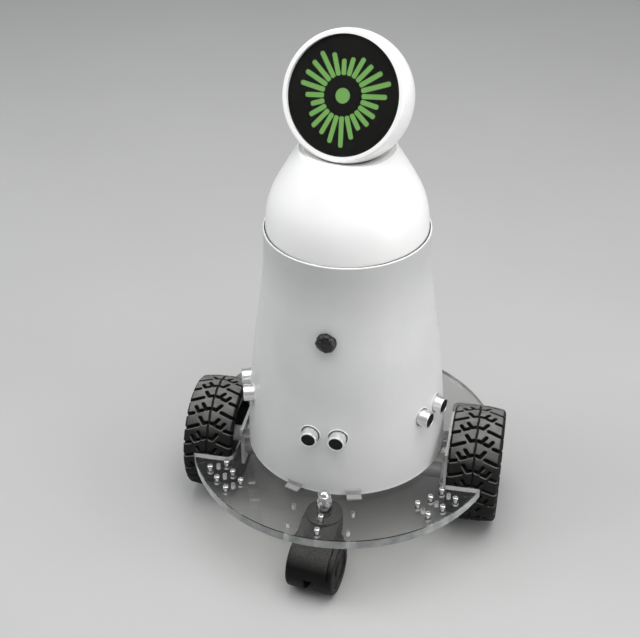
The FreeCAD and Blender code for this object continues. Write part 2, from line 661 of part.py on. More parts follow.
def make_switch_rocker():
    """Shallow V-faced rocker that tips about its pivot, at rest with its lower end pressed in."""
    front = SWITCH_PIVOT_Y - 2.6
    ends = SWITCH_PIVOT_Y - 4.1
    width = (-ROCKER_HALF_WIDTH, ROCKER_HALF_WIDTH)
    face = prism_x([(front, 0), (ends, 8), (8, 8), (8, -8), (ends, -8)], *width)
    rocker = rod_x(ROCKER_RADIUS, *width, y=SWITCH_PIVOT_Y).common(face)
    tipped = turned(rocker, ROCKER_TILT, X_AXIS, at(0, SWITCH_PIVOT_Y, 0))
    return seated(tipped, 180, SWITCH_Z)


def make_charge_socket():
    """Round direct-current socket with its centre pin."""
    shell = fused([rod_y(7, -1.55, -RUN), rod_y(SOCKET_BARREL, -RUN, 12)])
    socket = fused([shell.cut(rod_y(2.75, -2, 8)), rod_y(1.05, -0.5, 9)])
    return seated(socket, 180, SOCKET_Z)


def make_microphone():
    """Soft round black cap outside the wall, its stem, and a nut inside."""
    cap = rod_y(9, -7.5, -0.3)
    cap = cap.makeFillet(3.4, [e for e in cap.Edges if e.CenterOfMass.y < -7])
    stem = rod_y(STEM_RADIUS, -0.3, 12)
    nut = rod_y(8, SHELL_WALL + 1.5, SHELL_WALL + 5)
    return seated(fused([cap, stem, nut]), 0, MICROPHONE_Z)


def make_body_shell():
    """Bell-shaped wall with two holes for each sensor, and holes for the fittings."""
    wall = revolved_wall(SHELL_OUTLINE, SHELL_WALL)
    holes = []
    for name in SONAR_AZIMUTHS:
        for x in (-SONAR_SPACING / 2, SONAR_SPACING / 2):
            hole = rod_y(CAN_RADIUS + CAN_CLEARANCE, -CAN_FACE - 8, -CAN_FACE + 32, x, SONAR_Z)
            holes.append(sonar_piece(hole, name))
    for barrel, azimuth, z in ((SWITCH_BARREL, 180, SWITCH_Z), (SOCKET_BARREL, 180, SOCKET_Z),
                               (STEM_RADIUS, 0, MICROPHONE_Z)):
        holes.append(seated(rod_y(barrel + HOLE_CLEARANCE, -10, 10), azimuth, z))
    return drilled(wall, holes)


def make_shell_clips():
    """Small angle clips at the foot of the shell."""
    face = SHELL_OUTLINE[0][0] + 0.2
    foot = block((-7, 7), (-face - 7.5, -face), (PLATE_TOP, PLATE_TOP + 1.8))
    upright = block((-7, 7), (-face - 1.5, -face), (PLATE_TOP, PLATE_TOP + 7))
    clip = fused([foot, upright])
    return [turned(clip, azimuth + SHELL_YAW) for azimuth in (-17, 17, 163, 197)]


# ---- shoulder dome and neck ----
def make_dome_cover():
    """Rounded cover down to the upper deck, with a cup at its top for the ball to turn in."""
    wall = revolved_wall(DOME_OUTLINE, DOME_WALL, foot=UPPER_DECK[1])
    top = DOME_OUTLINE[-1][1]
    room = Part.makeSphere(HEAD_RADIUS + DOME_GAP, at(0, 0, HEAD_Z))
    cup = Part.makeSphere(HEAD_RADIUS + DOME_GAP + CUP_THICK, at(0, 0, HEAD_Z))
    cup = cup.common(rod(CUP_RADIUS, at(0, 0, CUP_Z), top - CUP_Z)).cut(rod(CUP_HOLE, at(0, 0, 0), HEAD_Z))
    return fused([wall, cup]).cut(room)


def make_servo_mount():
    """Bridge that stands on the upper deck and holds the pan servo by its tabs."""
    deck = (SERVO_TAB_Z[0] - 3, SERVO_TAB_Z[0])
    top = block((-40, 20), (-14, 14), deck)
    legs = [block((x, x + 3), (-14, 14), (UPPER_DECK[1], deck[0])) for x in (-40, 17)]
    window = block((-30.5, 10.4), (-10.2, 10.2), deck)
    return fused([top] + legs).cut(window)


def make_pan_servo():
    body = block((-30.3, 10.2), (-10, 10), (326, SERVO_TOP))
    tabs = block((-37.3, 17.2), (-9, 9), SERVO_TAB_Z)
    boss = rod(6.5, at(0, 0, SERVO_TOP), 2.5)
    return fused([body, tabs, boss]).cut(rod(SPLINE_RADIUS + RUN, at(0, 0, SPLINE_FOOT - 0.5), 10))


def make_pan_horn():
    return fused([rod(SPLINE_RADIUS, at(0, 0, SPLINE_FOOT), PAN_HORN_Z[1] - SPLINE_FOOT),
                  rod(11, at(0, 0, PAN_HORN_Z[0]), PAN_HORN_Z[1] - PAN_HORN_Z[0])])


# head pieces are built round the ball's centre, facing -Y, then turned and lifted into place
def panned(shape):
    return moved(turned(shape, HEAD_PAN), at(0, 0, HEAD_Z))


def tilted(shape):
    return turned(shape, -HEAD_TILT, X_AXIS)


def make_neck_bracket():
    """Flange on the pan horn, round post into the ball, and the saddle of the tilt servo."""
    foot = PAN_HORN_Z[1] - HEAD_Z
    flange = rod(12, at(0, 0, foot), 3)
    post = rod(8, at(0, 0, foot), -20 - foot)
    saddle = block((-15.5, 11.4), (-8, 8.2), (-20, -17))
    arm = block((-15.5, -12.5), (-6, 8.2), (-17, 4))
    back = block((-15.5, 11.4), (6.2, 8.2), (-17, 4))
    pivot = rod_x(TILT_PIVOT_RADIUS, -19.5, -15.5)
    return panned(fused([flange, post, saddle, arm, back, pivot]))


def make_tilt_servo():
    body = block((-11, 11.5), (-6.1, 6.1), (-16.8, 6))
    boss = rod_x(4, 11.5, 13.5)
    return panned(fused([body, boss]).cut(rod_x(2.4 + RUN, 9.8, 14)))


def make_tilt_horn():
    return panned(tilted(fused([rod_x(2.4, 10, 16), rod_x(8, 13.8, 16)])))


def make_head_frame():
    """Ring behind the display with two ears that reach back to the tilt axis."""
    back, front = -FRAME_D[0], -FRAME_D[1]
    ring = rod_y(DISPLAY_RADIUS - 0.5, front, back).cut(rod_y(40, front, back))
    notch = block((-14, 14), (front, back), (-60, -30))
    parts = [ring.cut(notch)]
    for low, high in ((-19, -16), (16, 19)):
        parts.append(block((low, high), (front, 7), (-7, 7)))
    for low, high in ((-41, -16), (16, 41)):
        parts.append(block((low, high), (front, back), (-7, 7)))
    return panned(tilted(fused(parts).cut(rod_x(TILT_PIVOT_RADIUS + RUN, -20, -15))))


def make_display_panel():
    return panned(tilted(rod_y(DISPLAY_RADIUS - 0.5, -PANEL_D[1], -PANEL_D[0])))


def make_display_lens():
    lens = rod_y(DISPLAY_RADIUS - 0.1, -LENS_D[1], -LENS_D[0])
    return panned(tilted(lens))


def make_face_bezel():
    """Front ring that carries on the ball's curve, with a spigot inside the head shell."""
    ball = Part.makeSphere(HEAD_RADIUS)
    ring = ball.common(rod_y(HEAD_RADIUS + 5, -FACE_D, -MOUTH_D))
    rim = [e for e in ring.Edges if abs(e.CenterOfMass.y + FACE_D) < 1e-6 and e.Length > 300]
    ring = ring.makeFillet(1.5, rim)
    spigot_y = (-MOUTH_D, -MOUTH_D + 4)
    spigot = rod_y(SPIGOT[1], *spigot_y).cut(rod_y(SPIGOT[0], *spigot_y))
    return panned(tilted(fused([ring.cut(rod_y(DISPLAY_RADIUS, -20, 0)), spigot])))


def make_head_shell():
    ball = Part.makeSphere(HEAD_RADIUS).cut(Part.makeSphere(HEAD_RADIUS - HEAD_WALL))
    bowl = tilted(ball.cut(block((-70, 70), (-70, -MOUTH_D), (-70, 70))))
    front, rear = math.radians(SLOT_FRONT), math.radians(SLOT_REAR)
    reach = 1.4 * HEAD_RADIUS
    slot = prism_x([(0, 0), (-reach * math.sin(front), -reach * math.cos(front)),
                    (reach * math.sin(rear), -reach * math.cos(rear))], -SLOT_HALF, SLOT_HALF)
    return panned(bowl.cut(slot))


# ---- all pieces ----
def all_pieces():
    pieces = {
        "base_plate": make_base_plate(),
        "plate_screws": make_plate_screws(),
        "plate_nuts": make_plate_nuts(),
        "m4_screws": make_m4_screws(),
        "motor_brackets": [turned(make_motor_bracket(), angle) for angle in (0, 180)],
        "battery": make_battery(),
        "battery_strap": make_battery_strap(),
        "motor_driver_board": make_motor_driver_board(),
        "computer_board": make_computer_board(),
        "controller_board": make_controller_board(),
        "board_spacers": make_board_spacers(),
        "mid_deck": make_mid_deck(),
        "upper_deck": make_upper_deck(),
        "deck_posts": make_deck_posts(),
        "body_shell": make_body_shell(),
        "shell_clips": make_shell_clips(),
        "sonar_boards": [sonar_piece(make_sonar_board(), name) for name in SONAR_AZIMUTHS],
        "microphone": make_microphone(),
        "switch_housing": make_switch_housing(),
        "switch_rocker": make_switch_rocker(),
        "charge_socket": make_charge_socket(),
        "dome_cover": make_dome_cover(),
        "servo_mount": make_servo_mount(),
        "pan_servo": make_pan_servo(),
        "pan_horn": make_pan_horn(),
        "neck_bracket": make_neck_bracket(),
        "tilt_servo": make_tilt_servo(),
        "tilt_horn": make_tilt_horn(),
        "head_frame": make_head_frame(),
        "head_shell": make_head_shell(),
        "face_bezel": make_face_bezel(),
        "display_panel": make_display_panel(),
        "display_lens": make_display_lens(),
    }
    for name in SONAR_AZIMUTHS:
        pieces["sonar_cans_" + name] = [sonar_piece(can, name) for can in make_sonar_cans()]
    for name, side in (("left", 1), ("right", -1)):
        pieces["motor_" + name] = turned(make_motor(), 0 if side > 0 else 180)
        pieces["tyre_" + name] = wheel_piece(make_tyre(), side)
        pieces["wheel_rim_" + name] = wheel_piece(make_wheel_rim(), side)
        pieces["wheel_hub_" + name] = wheel_piece(make_wheel_hub(), side)
        pieces["hub_nut_" + name] = wheel_piece(make_hub_nut(), side)
        pieces["drive_shaft_" + name] = wheel_piece(make_drive_shaft(), side)
    ends = ("front", "rear")
    for end in ends:
        pieces["castor_hood_" + end] = castor_piece(make_castor_hood(), end)
        pieces["castor_axle_" + end] = castor_piece(make_castor_axle(), end)
        pieces["castor_wheel_a_" + end] = castor_piece(make_castor_wheel(1), end)
        pieces["castor_wheel_b_" + end] = castor_piece(make_castor_wheel(-1), end)
    pieces["castor_bolts"] = [castor_piece(make_castor_bolt(), end) for end in ends]
    pieces["castor_nuts"] = [castor_piece(nut, end) for end in ends for nut in make_castor_nuts()]
    return pieces


def main():
    os.makedirs("parts", exist_ok=True)
    for name, shape in all_pieces().items():
        if isinstance(shape, list):
            shape = Part.makeCompound(shape)
        shape.exportStep("parts/" + name + ".step")


main()
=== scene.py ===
"""Looks of the two-wheel robot car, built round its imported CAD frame.

Metres, in the CAD's own frame: the floor is z = 0, the robot faces -Y and +X is its own left.
The body shell, the head and everything inside stay as the CAD made them and get a material here. Tyres,
dome, sensors, microphone and display glass are modelled here in place of the plain CAD solids, and details
such as rim ribs, hub caps, glue beads, motor screws and wires are added to them.
"""
import json
import math

import bmesh
import bpy
import numpy as np
from mathutils import Matrix, Vector, noise


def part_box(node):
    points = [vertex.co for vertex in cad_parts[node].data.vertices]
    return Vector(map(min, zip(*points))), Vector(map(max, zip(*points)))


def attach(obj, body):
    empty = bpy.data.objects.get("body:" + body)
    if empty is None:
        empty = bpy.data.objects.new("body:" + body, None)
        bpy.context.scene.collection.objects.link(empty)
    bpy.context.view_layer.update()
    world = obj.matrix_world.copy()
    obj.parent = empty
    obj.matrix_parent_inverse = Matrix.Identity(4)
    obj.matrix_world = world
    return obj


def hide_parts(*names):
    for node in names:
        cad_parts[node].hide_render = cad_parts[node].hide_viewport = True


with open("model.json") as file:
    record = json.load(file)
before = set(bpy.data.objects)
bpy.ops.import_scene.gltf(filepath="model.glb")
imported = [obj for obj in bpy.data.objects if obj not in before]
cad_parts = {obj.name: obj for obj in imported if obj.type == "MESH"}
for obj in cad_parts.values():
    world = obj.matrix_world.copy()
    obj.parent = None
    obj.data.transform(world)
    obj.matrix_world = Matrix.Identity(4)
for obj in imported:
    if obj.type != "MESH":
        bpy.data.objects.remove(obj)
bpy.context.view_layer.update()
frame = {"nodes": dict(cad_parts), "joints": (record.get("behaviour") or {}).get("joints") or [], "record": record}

MM = 0.001
UP = Vector((0, 0, 1))
JOINTS = {joint["name"]: joint for joint in frame["joints"]}
NODE_SLOTS = {part["node"]: part["material_slot"] for part in frame["record"]["subparts"]}


# ---------------------------------------------------------------- places taken from the frame
def middle(node):
    low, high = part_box(node)
    return (low + high) / 2


def axes(x_axis, y_axis, z_axis, origin):
    """Matrix that puts local axes along three directions, at an origin."""
    turn = Matrix((x_axis, y_axis, z_axis)).transposed().to_4x4()
    return Matrix.Translation(origin) @ turn


def facing(outward, origin):
    """Local Z along outward, local Y as near to upright as it can be."""
    z_axis = Vector(outward).normalized()
    x_axis = UP.cross(z_axis).normalized()
    return axes(x_axis, z_axis.cross(x_axis), z_axis, origin)


def head_place():
    """Middle of the head, with local Z out through the display and local Y up its face."""
    centre = Vector(JOINTS["head_pan"]["pos_m"])
    return facing(middle("display_lens") - centre, centre)


# ---------------------------------------------------------------- mesh building
def placed(shape, matrix):
    vertices, faces = shape
    return [matrix @ Vector(v) for v in vertices], faces


def repeated(shape, matrices):
    return [placed(shape, matrix) for matrix in matrices]


def softened(outline, radius):
    """The closed outline with each corner rounded off by a short curve."""
    steps = 4
    points = [Vector(p) for p in outline]
    result = []
    for i, corner in enumerate(points):
        before = points[i - 1] - corner
        after = points[(i + 1) % len(points)] - corner
        cut = min(radius, 0.49 * before.length, 0.49 * after.length)
        start = corner + before.normalized() * cut
        end = corner + after.normalized() * cut
        for k in range(steps + 1):
            t = k / steps
            result.append(start * (1 - t) ** 2 + corner * (2 * t * (1 - t)) + end * t ** 2)
    return result


def lathe(profile, segments=64):
    """Surface turned about local Z from (radius, z) points; points on the axis become single vertices."""
    rings = []
    vertices = []
    for radius, z in profile:
        if radius < 1e-7:
            rings.append([len(vertices)] * segments)
            vertices.append(Vector((0, 0, z)))
        else:
            rings.append(list(range(len(vertices), len(vertices) + segments)))
            for k in range(segments):
                angle = 2 * math.pi * k / segments
                vertices.append(Vector((radius * math.cos(angle), radius * math.sin(angle), z)))
    faces = []
    open_ends = profile[0][0] < 1e-7 and profile[-1][0] < 1e-7
    for i in range(len(rings) - 1 if open_ends else len(rings)):
        lower, upper = rings[i], rings[(i + 1) % len(rings)]
        for k in range(segments):
            j = (k + 1) % segments
            corners = [lower[k], lower[j], upper[j], upper[k]]
            face = [c for n, c in enumerate(corners) if c != corners[n - 1]]
            if len(face) > 2:
                faces.append(face)
    return vertices, faces


def prism(outline, low, high, edge=0.0, steps=3):
    """Outline in local XY extruded along Z; edge rounds the rims of both ends."""
    outline = [Vector((p[0], p[1])) for p in outline]
    centre = sum(outline, Vector((0, 0))) / len(outline)
    levels = [(low, 0.0), (high, 0.0)]
    if edge:
        quarter = [k * math.pi / 2 / steps for k in range(steps + 1)]
        levels = [(low + edge * (1 - math.sin(a)), edge * (1 - math.cos(a))) for a in reversed(quarter)]
        levels += [(high - edge * (1 - math.sin(a)), edge * (1 - math.cos(a))) for a in quarter]
    vertices = []
    for z, inset in levels:
        for p in outline:
            away = (p - centre)
            pulled = centre + away * max(0.0, 1 - inset / max(away.length, 1e-9))
            vertices.append(Vector((pulled.x, pulled.y, z)))
    count = len(outline)
    faces = [list(reversed(range(count))), list(range((len(levels) - 1) * count, len(levels) * count))]
    for row in range(len(levels) - 1):
        for k in range(count):
            j = (k + 1) % count
            faces.append([row * count + k, row * count + j, (row + 1) * count + j, (row + 1) * count + k])
    return vertices, faces


def smooth_path(points, steps=8):
    """Catmull-Rom curve through the points."""
    points = [Vector(p) for p in points]
    padded = [points[0] * 2 - points[1]] + points + [points[-1] * 2 - points[-2]]
    path = []
    for i in range(1, len(padded) - 2):
        a, b, c, d = padded[i - 1:i + 3]
        for k in range(steps):
            t = k / steps
            path.append(0.5 * (2 * b + (c - a) * t + (2 * a - 5 * b + 4 * c - d) * t ** 2
                               + (3 * b - a - 3 * c + d) * t ** 3))
    path.append(points[-1])
    return path


def hoop(radius, height, thickness, segments=240, sides=10):
    """Ring of round section about the Z axis; thickness gives the section's radius at each angle."""
    vertices, faces = [], []
    for i in range(segments):
        turn = 2 * math.pi * i / segments
        for k in range(sides):
            angle = 2 * math.pi * k / sides
            reach = radius + thickness(turn) * math.cos(angle)
            vertices.append(Vector((reach * math.cos(turn), reach * math.sin(turn),
                                    height + thickness(turn) * math.sin(angle))))
    for i in range(segments):
        j = (i + 1) % segments
        for k in range(sides):
            n = (k + 1) % sides
            faces.append([i * sides + k, j * sides + k, j * sides + n, i * sides + n])
    return vertices, faces


def tube(points, radius, sides=10, steps=8):
    """Round wire along a smooth path, closed at both ends."""
    path = smooth_path(points, steps) if steps > 1 else [Vector(p) for p in points]
    vertices, faces = [], []
    across = (path[1] - path[0]).orthogonal().normalized()
    for i, centre in enumerate(path):
        along = (path[min(i + 1, len(path) - 1)] - path[max(i - 1, 0)]).normalized()
        across = (across - along * across.dot(along)).normalized()
        second = along.cross(across)
        for k in range(sides):
            angle = 2 * math.pi * k / sides
            vertices.append(centre + radius * (across * math.cos(angle) + second * math.sin(angle)))
    for i in range(len(path) - 1):
        for k in range(sides):
            j = (k + 1) % sides
            faces.append([i * sides + k, i * sides + j, (i + 1) * sides + j, (i + 1) * sides + k])
    faces.append(list(reversed(range(sides))))
    faces.append(list(range((len(path) - 1) * sides, len(path) * sides)))
    return vertices, faces


def build(name, shapes, finish, body, sharp=40.0):
    """One object from closed shapes, smooth shaded except across sharp edges, riding on a CAD body."""
    vertices, faces = [], []
    for shape_vertices, shape_faces in shapes:
        start = len(vertices)
        vertices += [tuple(v) for v in shape_vertices]
        faces += [[start + k for k in face] for face in shape_faces]
    mesh = bpy.data.meshes.new(name)
    mesh.from_pydata(vertices, [], faces)
    mesh.validate()
    outward = bmesh.new()
    outward.from_mesh(mesh)
    bmesh.ops.recalc_face_normals(outward, faces=outward.faces)
    outward.to_mesh(mesh)
    outward.free()
    mesh.shade_smooth()
    mesh.set_sharp_from_angle(angle=math.radians(sharp))
    mesh.materials.append(finish)
    piece = bpy.data.objects.new(name, mesh)
    bpy.context.scene.collection.objects.link(piece)
    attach(piece, body)
    return piece


# ---------------------------------------------------------------- material building
class Finish:
    """One procedural material: short calls that add nodes and join them."""

    def __init__(self, name):
        self.material = bpy.data.materials.new("look_" + name)
        self.material.use_nodes = True
        self.tree = self.material.node_tree
        self.surface = self.tree.nodes["Principled BSDF"]
        self.output = self.tree.nodes["Material Output"]
        self.place = self.node("TexCoord").outputs["Object"]

    def node(self, kind, feeds=None, **settings):
        made = self.tree.nodes.new("ShaderNode" + kind)
        for key, value in settings.items():
            setattr(made, key, value)
        self.feed(made, feeds or {})
        return made

    def feed(self, target, feeds):
        for key, value in feeds.items():
            if isinstance(value, bpy.types.NodeSocket):
                self.tree.links.new(value, target.inputs[key])
            else:
                target.inputs[key].default_value = value

    def principled(self, **values):
        """Inputs of the surface by name, with _ for each space."""
        self.feed(self.surface, {key.replace("_", " "): value for key, value in values.items()})

    def stretched(self, factors):
        return self.node("VectorMath", {0: self.place, 1: factors}, operation="MULTIPLY").outputs[0]

    def noise(self, scale, detail=3.0, stretch=None):
        where = self.stretched(stretch) if stretch else self.place
        feeds = {"Vector": where, "Scale": scale, "Detail": detail, "Roughness": 0.55}
        return self.node("TexNoise", feeds).outputs["Fac"]

    def cells(self, scale):
        """Distance to the middle of the nearest cell."""
        feeds = {"Vector": self.place, "Scale": scale}
        return self.node("TexVoronoi", feeds).outputs["Distance"]

    def span(self, value, low, high, out_low, out_high):
        """Value between low and high, mapped on to another range and held inside it."""
        feeds = {0: value, 1: low, 2: high, 3: out_low, 4: out_high}
        return self.node("MapRange", feeds).outputs[0]

    def sum(self, a, b, operation="ADD"):
        return self.node("Math", {0: a, 1: b}, operation=operation).outputs[0]

    def blend(self, share, a, b):
        mix = self.node("Mix", data_type="RGBA")
        sockets = {"share": mix.inputs[0], "a": mix.inputs[6], "b": mix.inputs[7]}
        for key, value in (("share", share), ("a", a), ("b", b)):
            if isinstance(value, bpy.types.NodeSocket):
                self.tree.links.new(value, sockets[key])
            else:
                sockets[key].default_value = value if key == "share" else (*value, 1.0)
        return mix.outputs[2]

    def bump(self, height, depth, under=None):
        feeds = {"Height": height, "Distance": depth, "Strength": 1.0}
        if under is not None:
            feeds["Normal"] = under
        return self.node("Bump", feeds).outputs["Normal"]

    def facing(self, axis):
        """How far the surface faces along an axis of the scene: 0, 1 and 2 are X, Y and Z."""
        normal = self.node("NewGeometry").outputs["Normal"]
        return self.node("SeparateXYZ", {0: normal}).outputs[axis]

    def size(self, value):
        """The value without its sign."""
        return self.node("Math", {0: value}, operation="ABSOLUTE").outputs[0]

    def soft_edges(self, radius):
        return self.node("Bevel", {"Radius": radius}, samples=4).outputs[0]


def shade(colour, factor):
    return tuple(channel * factor for channel in colour)


def plastic(name, colour, roughness, grain=0.00004, size=0.0006, patches=0.06, coat=0.0, shine=0.5,
            dust=0.0, edge=0.0003):
    """Moulded plastic: fine grain, cloudy colour and gloss, and dust where the surface faces up."""
    look = Finish(name)
    clouds = look.noise(18.0, 4.0)
    fine = look.noise(1.0 / size, 2.0)
    base = look.blend(look.span(clouds, 0.3, 0.7, 0.0, 1.0), shade(colour, 1 - patches), colour)
    if dust:
        lying = look.span(look.facing(2), 0.5, 1.0, 0.0, dust)
        settled = look.sum(lying, look.span(look.noise(520.0, 5.0), 0.35, 0.75, 0.5, 1.0), "MULTIPLY")
        base = look.blend(settled, base, (0.42, 0.41, 0.39))
    gloss = look.span(look.noise(60.0, 5.0), 0.3, 0.7, roughness * 0.85, roughness * 1.2)
    normal = look.bump(fine, grain, look.soft_edges(edge) if edge else None)
    look.principled(Base_Color=base, Roughness=gloss, Normal=normal, Coat_Weight=coat, Coat_Roughness=0.12,
                    Specular_IOR_Level=shine)
    return look.material


def metal(name, colour, roughness, brushed=(1.0, 1.0, 1.0), scale=900.0, depth=0.00001, stain=0.12,
          edge=0.0003, bare=1.0):
    """Metal: brushing or fine pitting in the gloss and height, and a dull cast in patches."""
    look = Finish(name)
    brushing = look.noise(scale, 3.0, brushed)
    dull = look.noise(70.0, 5.0)
    base = look.blend(look.span(dull, 0.45, 0.75, 0.0, 1.0), colour, shade(colour, 1 - stain))
    gloss = look.sum(look.span(brushing, 0.3, 0.7, roughness * 0.8, roughness * 1.25),
                     look.span(dull, 0.45, 0.8, 0.0, 0.12))
    normal = look.bump(brushing, depth, look.soft_edges(edge) if edge else None)
    look.principled(Base_Color=base, Metallic=bare, Roughness=gloss, Normal=normal)
    return look.material


def see_through(look, colour, tint):
    """Lets plain light through where a shadow ray meets clear plastic, so that it shades the floor softly."""
    passing = look.node("BsdfTransparent", {"Color": (*tint, 1.0)}).outputs[0]
    rays = look.node("LightPath").outputs["Is Shadow Ray"]
    look.principled(Base_Color=(*colour, 1.0), Transmission_Weight=1.0, IOR=1.49)
    joined = look.node("MixShader", {0: rays, 1: look.surface.outputs[0], 2: passing}).outputs[0]
    look.feed(look.output, {"Surface": joined})


def clear_acrylic():
    """Polished sheet with hairline scuffs on its faces, a milky rim and clear walls in the wheel cut-outs."""
    look = Finish("clear_acrylic")
    scuffs = look.noise(260.0, 6.0, (1.0, 0.12, 1.0))
    see_through(look, (0.70, 0.695, 0.68), (0.64, 0.64, 0.63))
    look.principled(Roughness=look.span(scuffs, 0.5, 0.8, 0.015, 0.14),
                    Normal=look.bump(look.noise(35.0, 2.0), 0.00002))
    milky = look.node("BsdfTranslucent", {"Color": (0.82, 0.85, 0.85, 1.0)}).outputs[0]
    matt = look.node("BsdfDiffuse", {"Color": (0.80, 0.83, 0.83, 1.0)}).outputs[0]
    cloudy = look.node("MixShader", {0: 0.5, 1: milky, 2: matt}).outputs[0]
    upright = look.sum(1.0, look.size(look.facing(2)), "SUBTRACT")
    unevenness = look.span(look.noise(90.0), 0.3, 0.7, 0.7, 1.1)
    share = look.sum(look.span(upright, 0.25, 1.0, 0.0, 0.46), unevenness, "MULTIPLY")
    polished_cutout = look.span(look.size(look.facing(0)), 0.95, 1.0, 1.0, 0.0)
    share = look.sum(share, polished_cutout, "MULTIPLY")
    clear = look.output.inputs["Surface"].links[0].from_socket
    look.feed(look.output, {"Surface": look.node("MixShader", {0: share, 1: clear, 2: cloudy}).outputs[0]})
    return look.material


def clear_clip():
    """Milky translucent moulding."""
    look = Finish("clear_clip")
    clouds = look.span(look.noise(300.0, 4.0), 0.3, 0.7, 0.0, 1.0)
    cloudy = look.blend(clouds, (0.66, 0.665, 0.66), (0.72, 0.72, 0.715))
    look.principled(Base_Color=cloudy, Roughness=look.span(look.noise(400.0), 0.3, 0.7, 0.35, 0.45),
                    Transmission_Weight=0.55, IOR=1.3, Normal=look.bump(look.noise(150.0), 0.00001))
    return look.material


def display_glass():
    look = Finish("display_glass")
    see_through(look, (0.97, 0.98, 0.98), (0.9, 0.9, 0.9))
    smears = look.noise(55.0, 4.0, (1.0, 1.0, 0.4))
    look.principled(IOR=1.12, Roughness=look.span(smears, 0.45, 0.75, 0.01, 0.09),
                    Normal=look.bump(look.noise(25.0, 1.0), 0.00001))
    return look.material


def frosted_shell():
    """Blown translucent wall: soft inside glow, long upright flow lines, faint haze and handling marks, with
    painted shade in a band under the seam, painted light towards the bottom and a painted highlight along the
    foot.
    """
    look = Finish("frosted_shell")
    height = look.node("SeparateXYZ", {0: look.place}).outputs[2]
    flow = look.noise(60.0, 3.0, (1.0, 1.0, 0.05))
    haze = look.noise(14.0, 4.0)
    marks = look.noise(220.0, 6.0)
    clean = look.blend(look.span(haze, 0.3, 0.7, 0.0, 1.0), (0.63, 0.635, 0.63), (0.70, 0.705, 0.695))
    # Painted light: below 0.20 m the wall is blended towards a paler grey, lighter towards the bottom.
    lighter_bottom_painted_light = look.blend(look.span(height, 0.10, 0.20, 0.4, 0.0), clean, (0.80, 0.80, 0.79))
    # Painted shade: from 0.262 m up to the seam the wall is blended halfway towards a dark grey.
    seam_band_painted_shade = look.blend(look.span(height, 0.262, 0.300, 0.0, 0.5), lighter_bottom_painted_light, (0.50, 0.505, 0.50))
    # Painted highlight: a near-white strip along the foot of the wall up to 83.5 mm, broken up by the marks noise.
    foot_painted_highlight = look.sum(look.span(height, 0.0805, 0.0835, 1.0, 0.0), look.span(marks, 0.3, 0.7, 0.75, 1.0),
                    "MULTIPLY")
    base = look.blend(foot_painted_highlight, seam_band_painted_shade, (0.95, 0.95, 0.94))
    gloss = look.sum(look.span(flow, 0.0, 1.0, 0.28, 0.38), look.span(marks, 0.0, 1.0, 0.0, 0.10))
    grain = look.bump(look.noise(1500.0, 2.0), 0.00002)
    look.principled(Base_Color=base, Roughness=gloss, Normal=look.bump(flow, 0.00012, grain),
                    Subsurface_Weight=0.35, Coat_Weight=0.12, Coat_Roughness=0.2)
    look.feed(look.surface, {"Subsurface Radius": (1.0, 1.0, 1.0), "Subsurface Scale": 0.006})
    return look.material


def white_gloss():
    """Satin white moulding with a faint spark-eroded grain and a little yellowing in patches."""
    look = Finish("white_gloss")
    clouds = look.span(look.noise(11.0, 4.0), 0.35, 0.7, 0.0, 1.0)
    base = look.blend(clouds, (0.945, 0.945, 0.935), (0.925, 0.925, 0.91))
    gloss = look.span(look.noise(90.0, 5.0), 0.0, 1.0, 0.26, 0.42)
    grain = look.bump(look.noise(1900.0, 2.0), 0.000025)
    look.principled(Base_Color=base, Roughness=gloss, Normal=grain, Coat_Weight=0.2, Coat_Roughness=0.15)
    return look.material


def tyre_rubber():
    """Black rubber greyed with carpet dust on its upward-facing tread, near-black with painted shade where the
    tread turns down or away, and darker in the grooves, partly clean rubber and partly painted shade.
    """
    look = Finish("tyre_rubber")
    fine = look.noise(900.0, 4.0)
    dusty = look.span(look.noise(120.0, 6.0), 0.35, 0.7, 0.0, 1.0)
    depth = look.node("Attribute", attribute_name="groove").outputs["Fac"]
    worn = look.blend(dusty, (0.135, 0.133, 0.128), (0.215, 0.211, 0.202))
    clean = look.blend(dusty, (0.006, 0.006, 0.0055), (0.013, 0.0125, 0.012))
    # Faces that point up take the grey dust colour. Faces that turn down or away keep the near-black colour, which
    # is painted shade on the lower tread.
    lying = look.span(look.facing(2), 0.58, 0.93, 0.0, 1.0)
    dust_and_painted_shade = look.blend(lying, clean, worn)
    # Groove floors go near-black: the clean rubber, and painted shade in the recesses.
    base = look.blend(look.span(depth, 0.03, 0.45, 0.0, 1.0), dust_and_painted_shade, (0.008, 0.008, 0.0078))
    look.principled(Base_Color=base, Roughness=look.span(dusty, 0.0, 1.0, 0.66, 0.85),
                    Normal=look.bump(fine, 0.00012), Specular_IOR_Level=0.18)
    return look.material


def soft_black():
    """Glossy black foam-rubber cap."""
    look = Finish("soft_black")
    lumps = look.noise(420.0, 4.0)
    base = look.blend(look.span(lumps, 0.4, 0.7, 0.0, 1.0), (0.004, 0.004, 0.004), (0.013, 0.013, 0.012))
    look.principled(Base_Color=base, Roughness=look.span(lumps, 0.3, 0.7, 0.2, 0.42),
                    Normal=look.bump(lumps, 0.0003))
    return look.material


def circuit_board():
    """Solder mask with traces that run in straight lines, and pale plated pads."""
    look = Finish("circuit_board")
    bands = look.node("TexBrick", {"Vector": look.place, "Scale": 90.0, "Mortar Size": 0.03,
                                   "Mortar Smooth": 0.2}).outputs["Fac"]
    pads = look.span(look.cells(260.0), 0.0, 0.16, 1.0, 0.0)
    mask = look.blend(bands, (0.012, 0.060, 0.030), (0.020, 0.105, 0.050))
    base = look.blend(pads, mask, (0.55, 0.50, 0.36))
    look.principled(Base_Color=base, Roughness=0.35, Metallic=look.span(pads, 0.3, 0.8, 0.0, 1.0),
                    Normal=look.bump(bands, 0.00005, look.soft_edges(0.0002)))
    return look.material


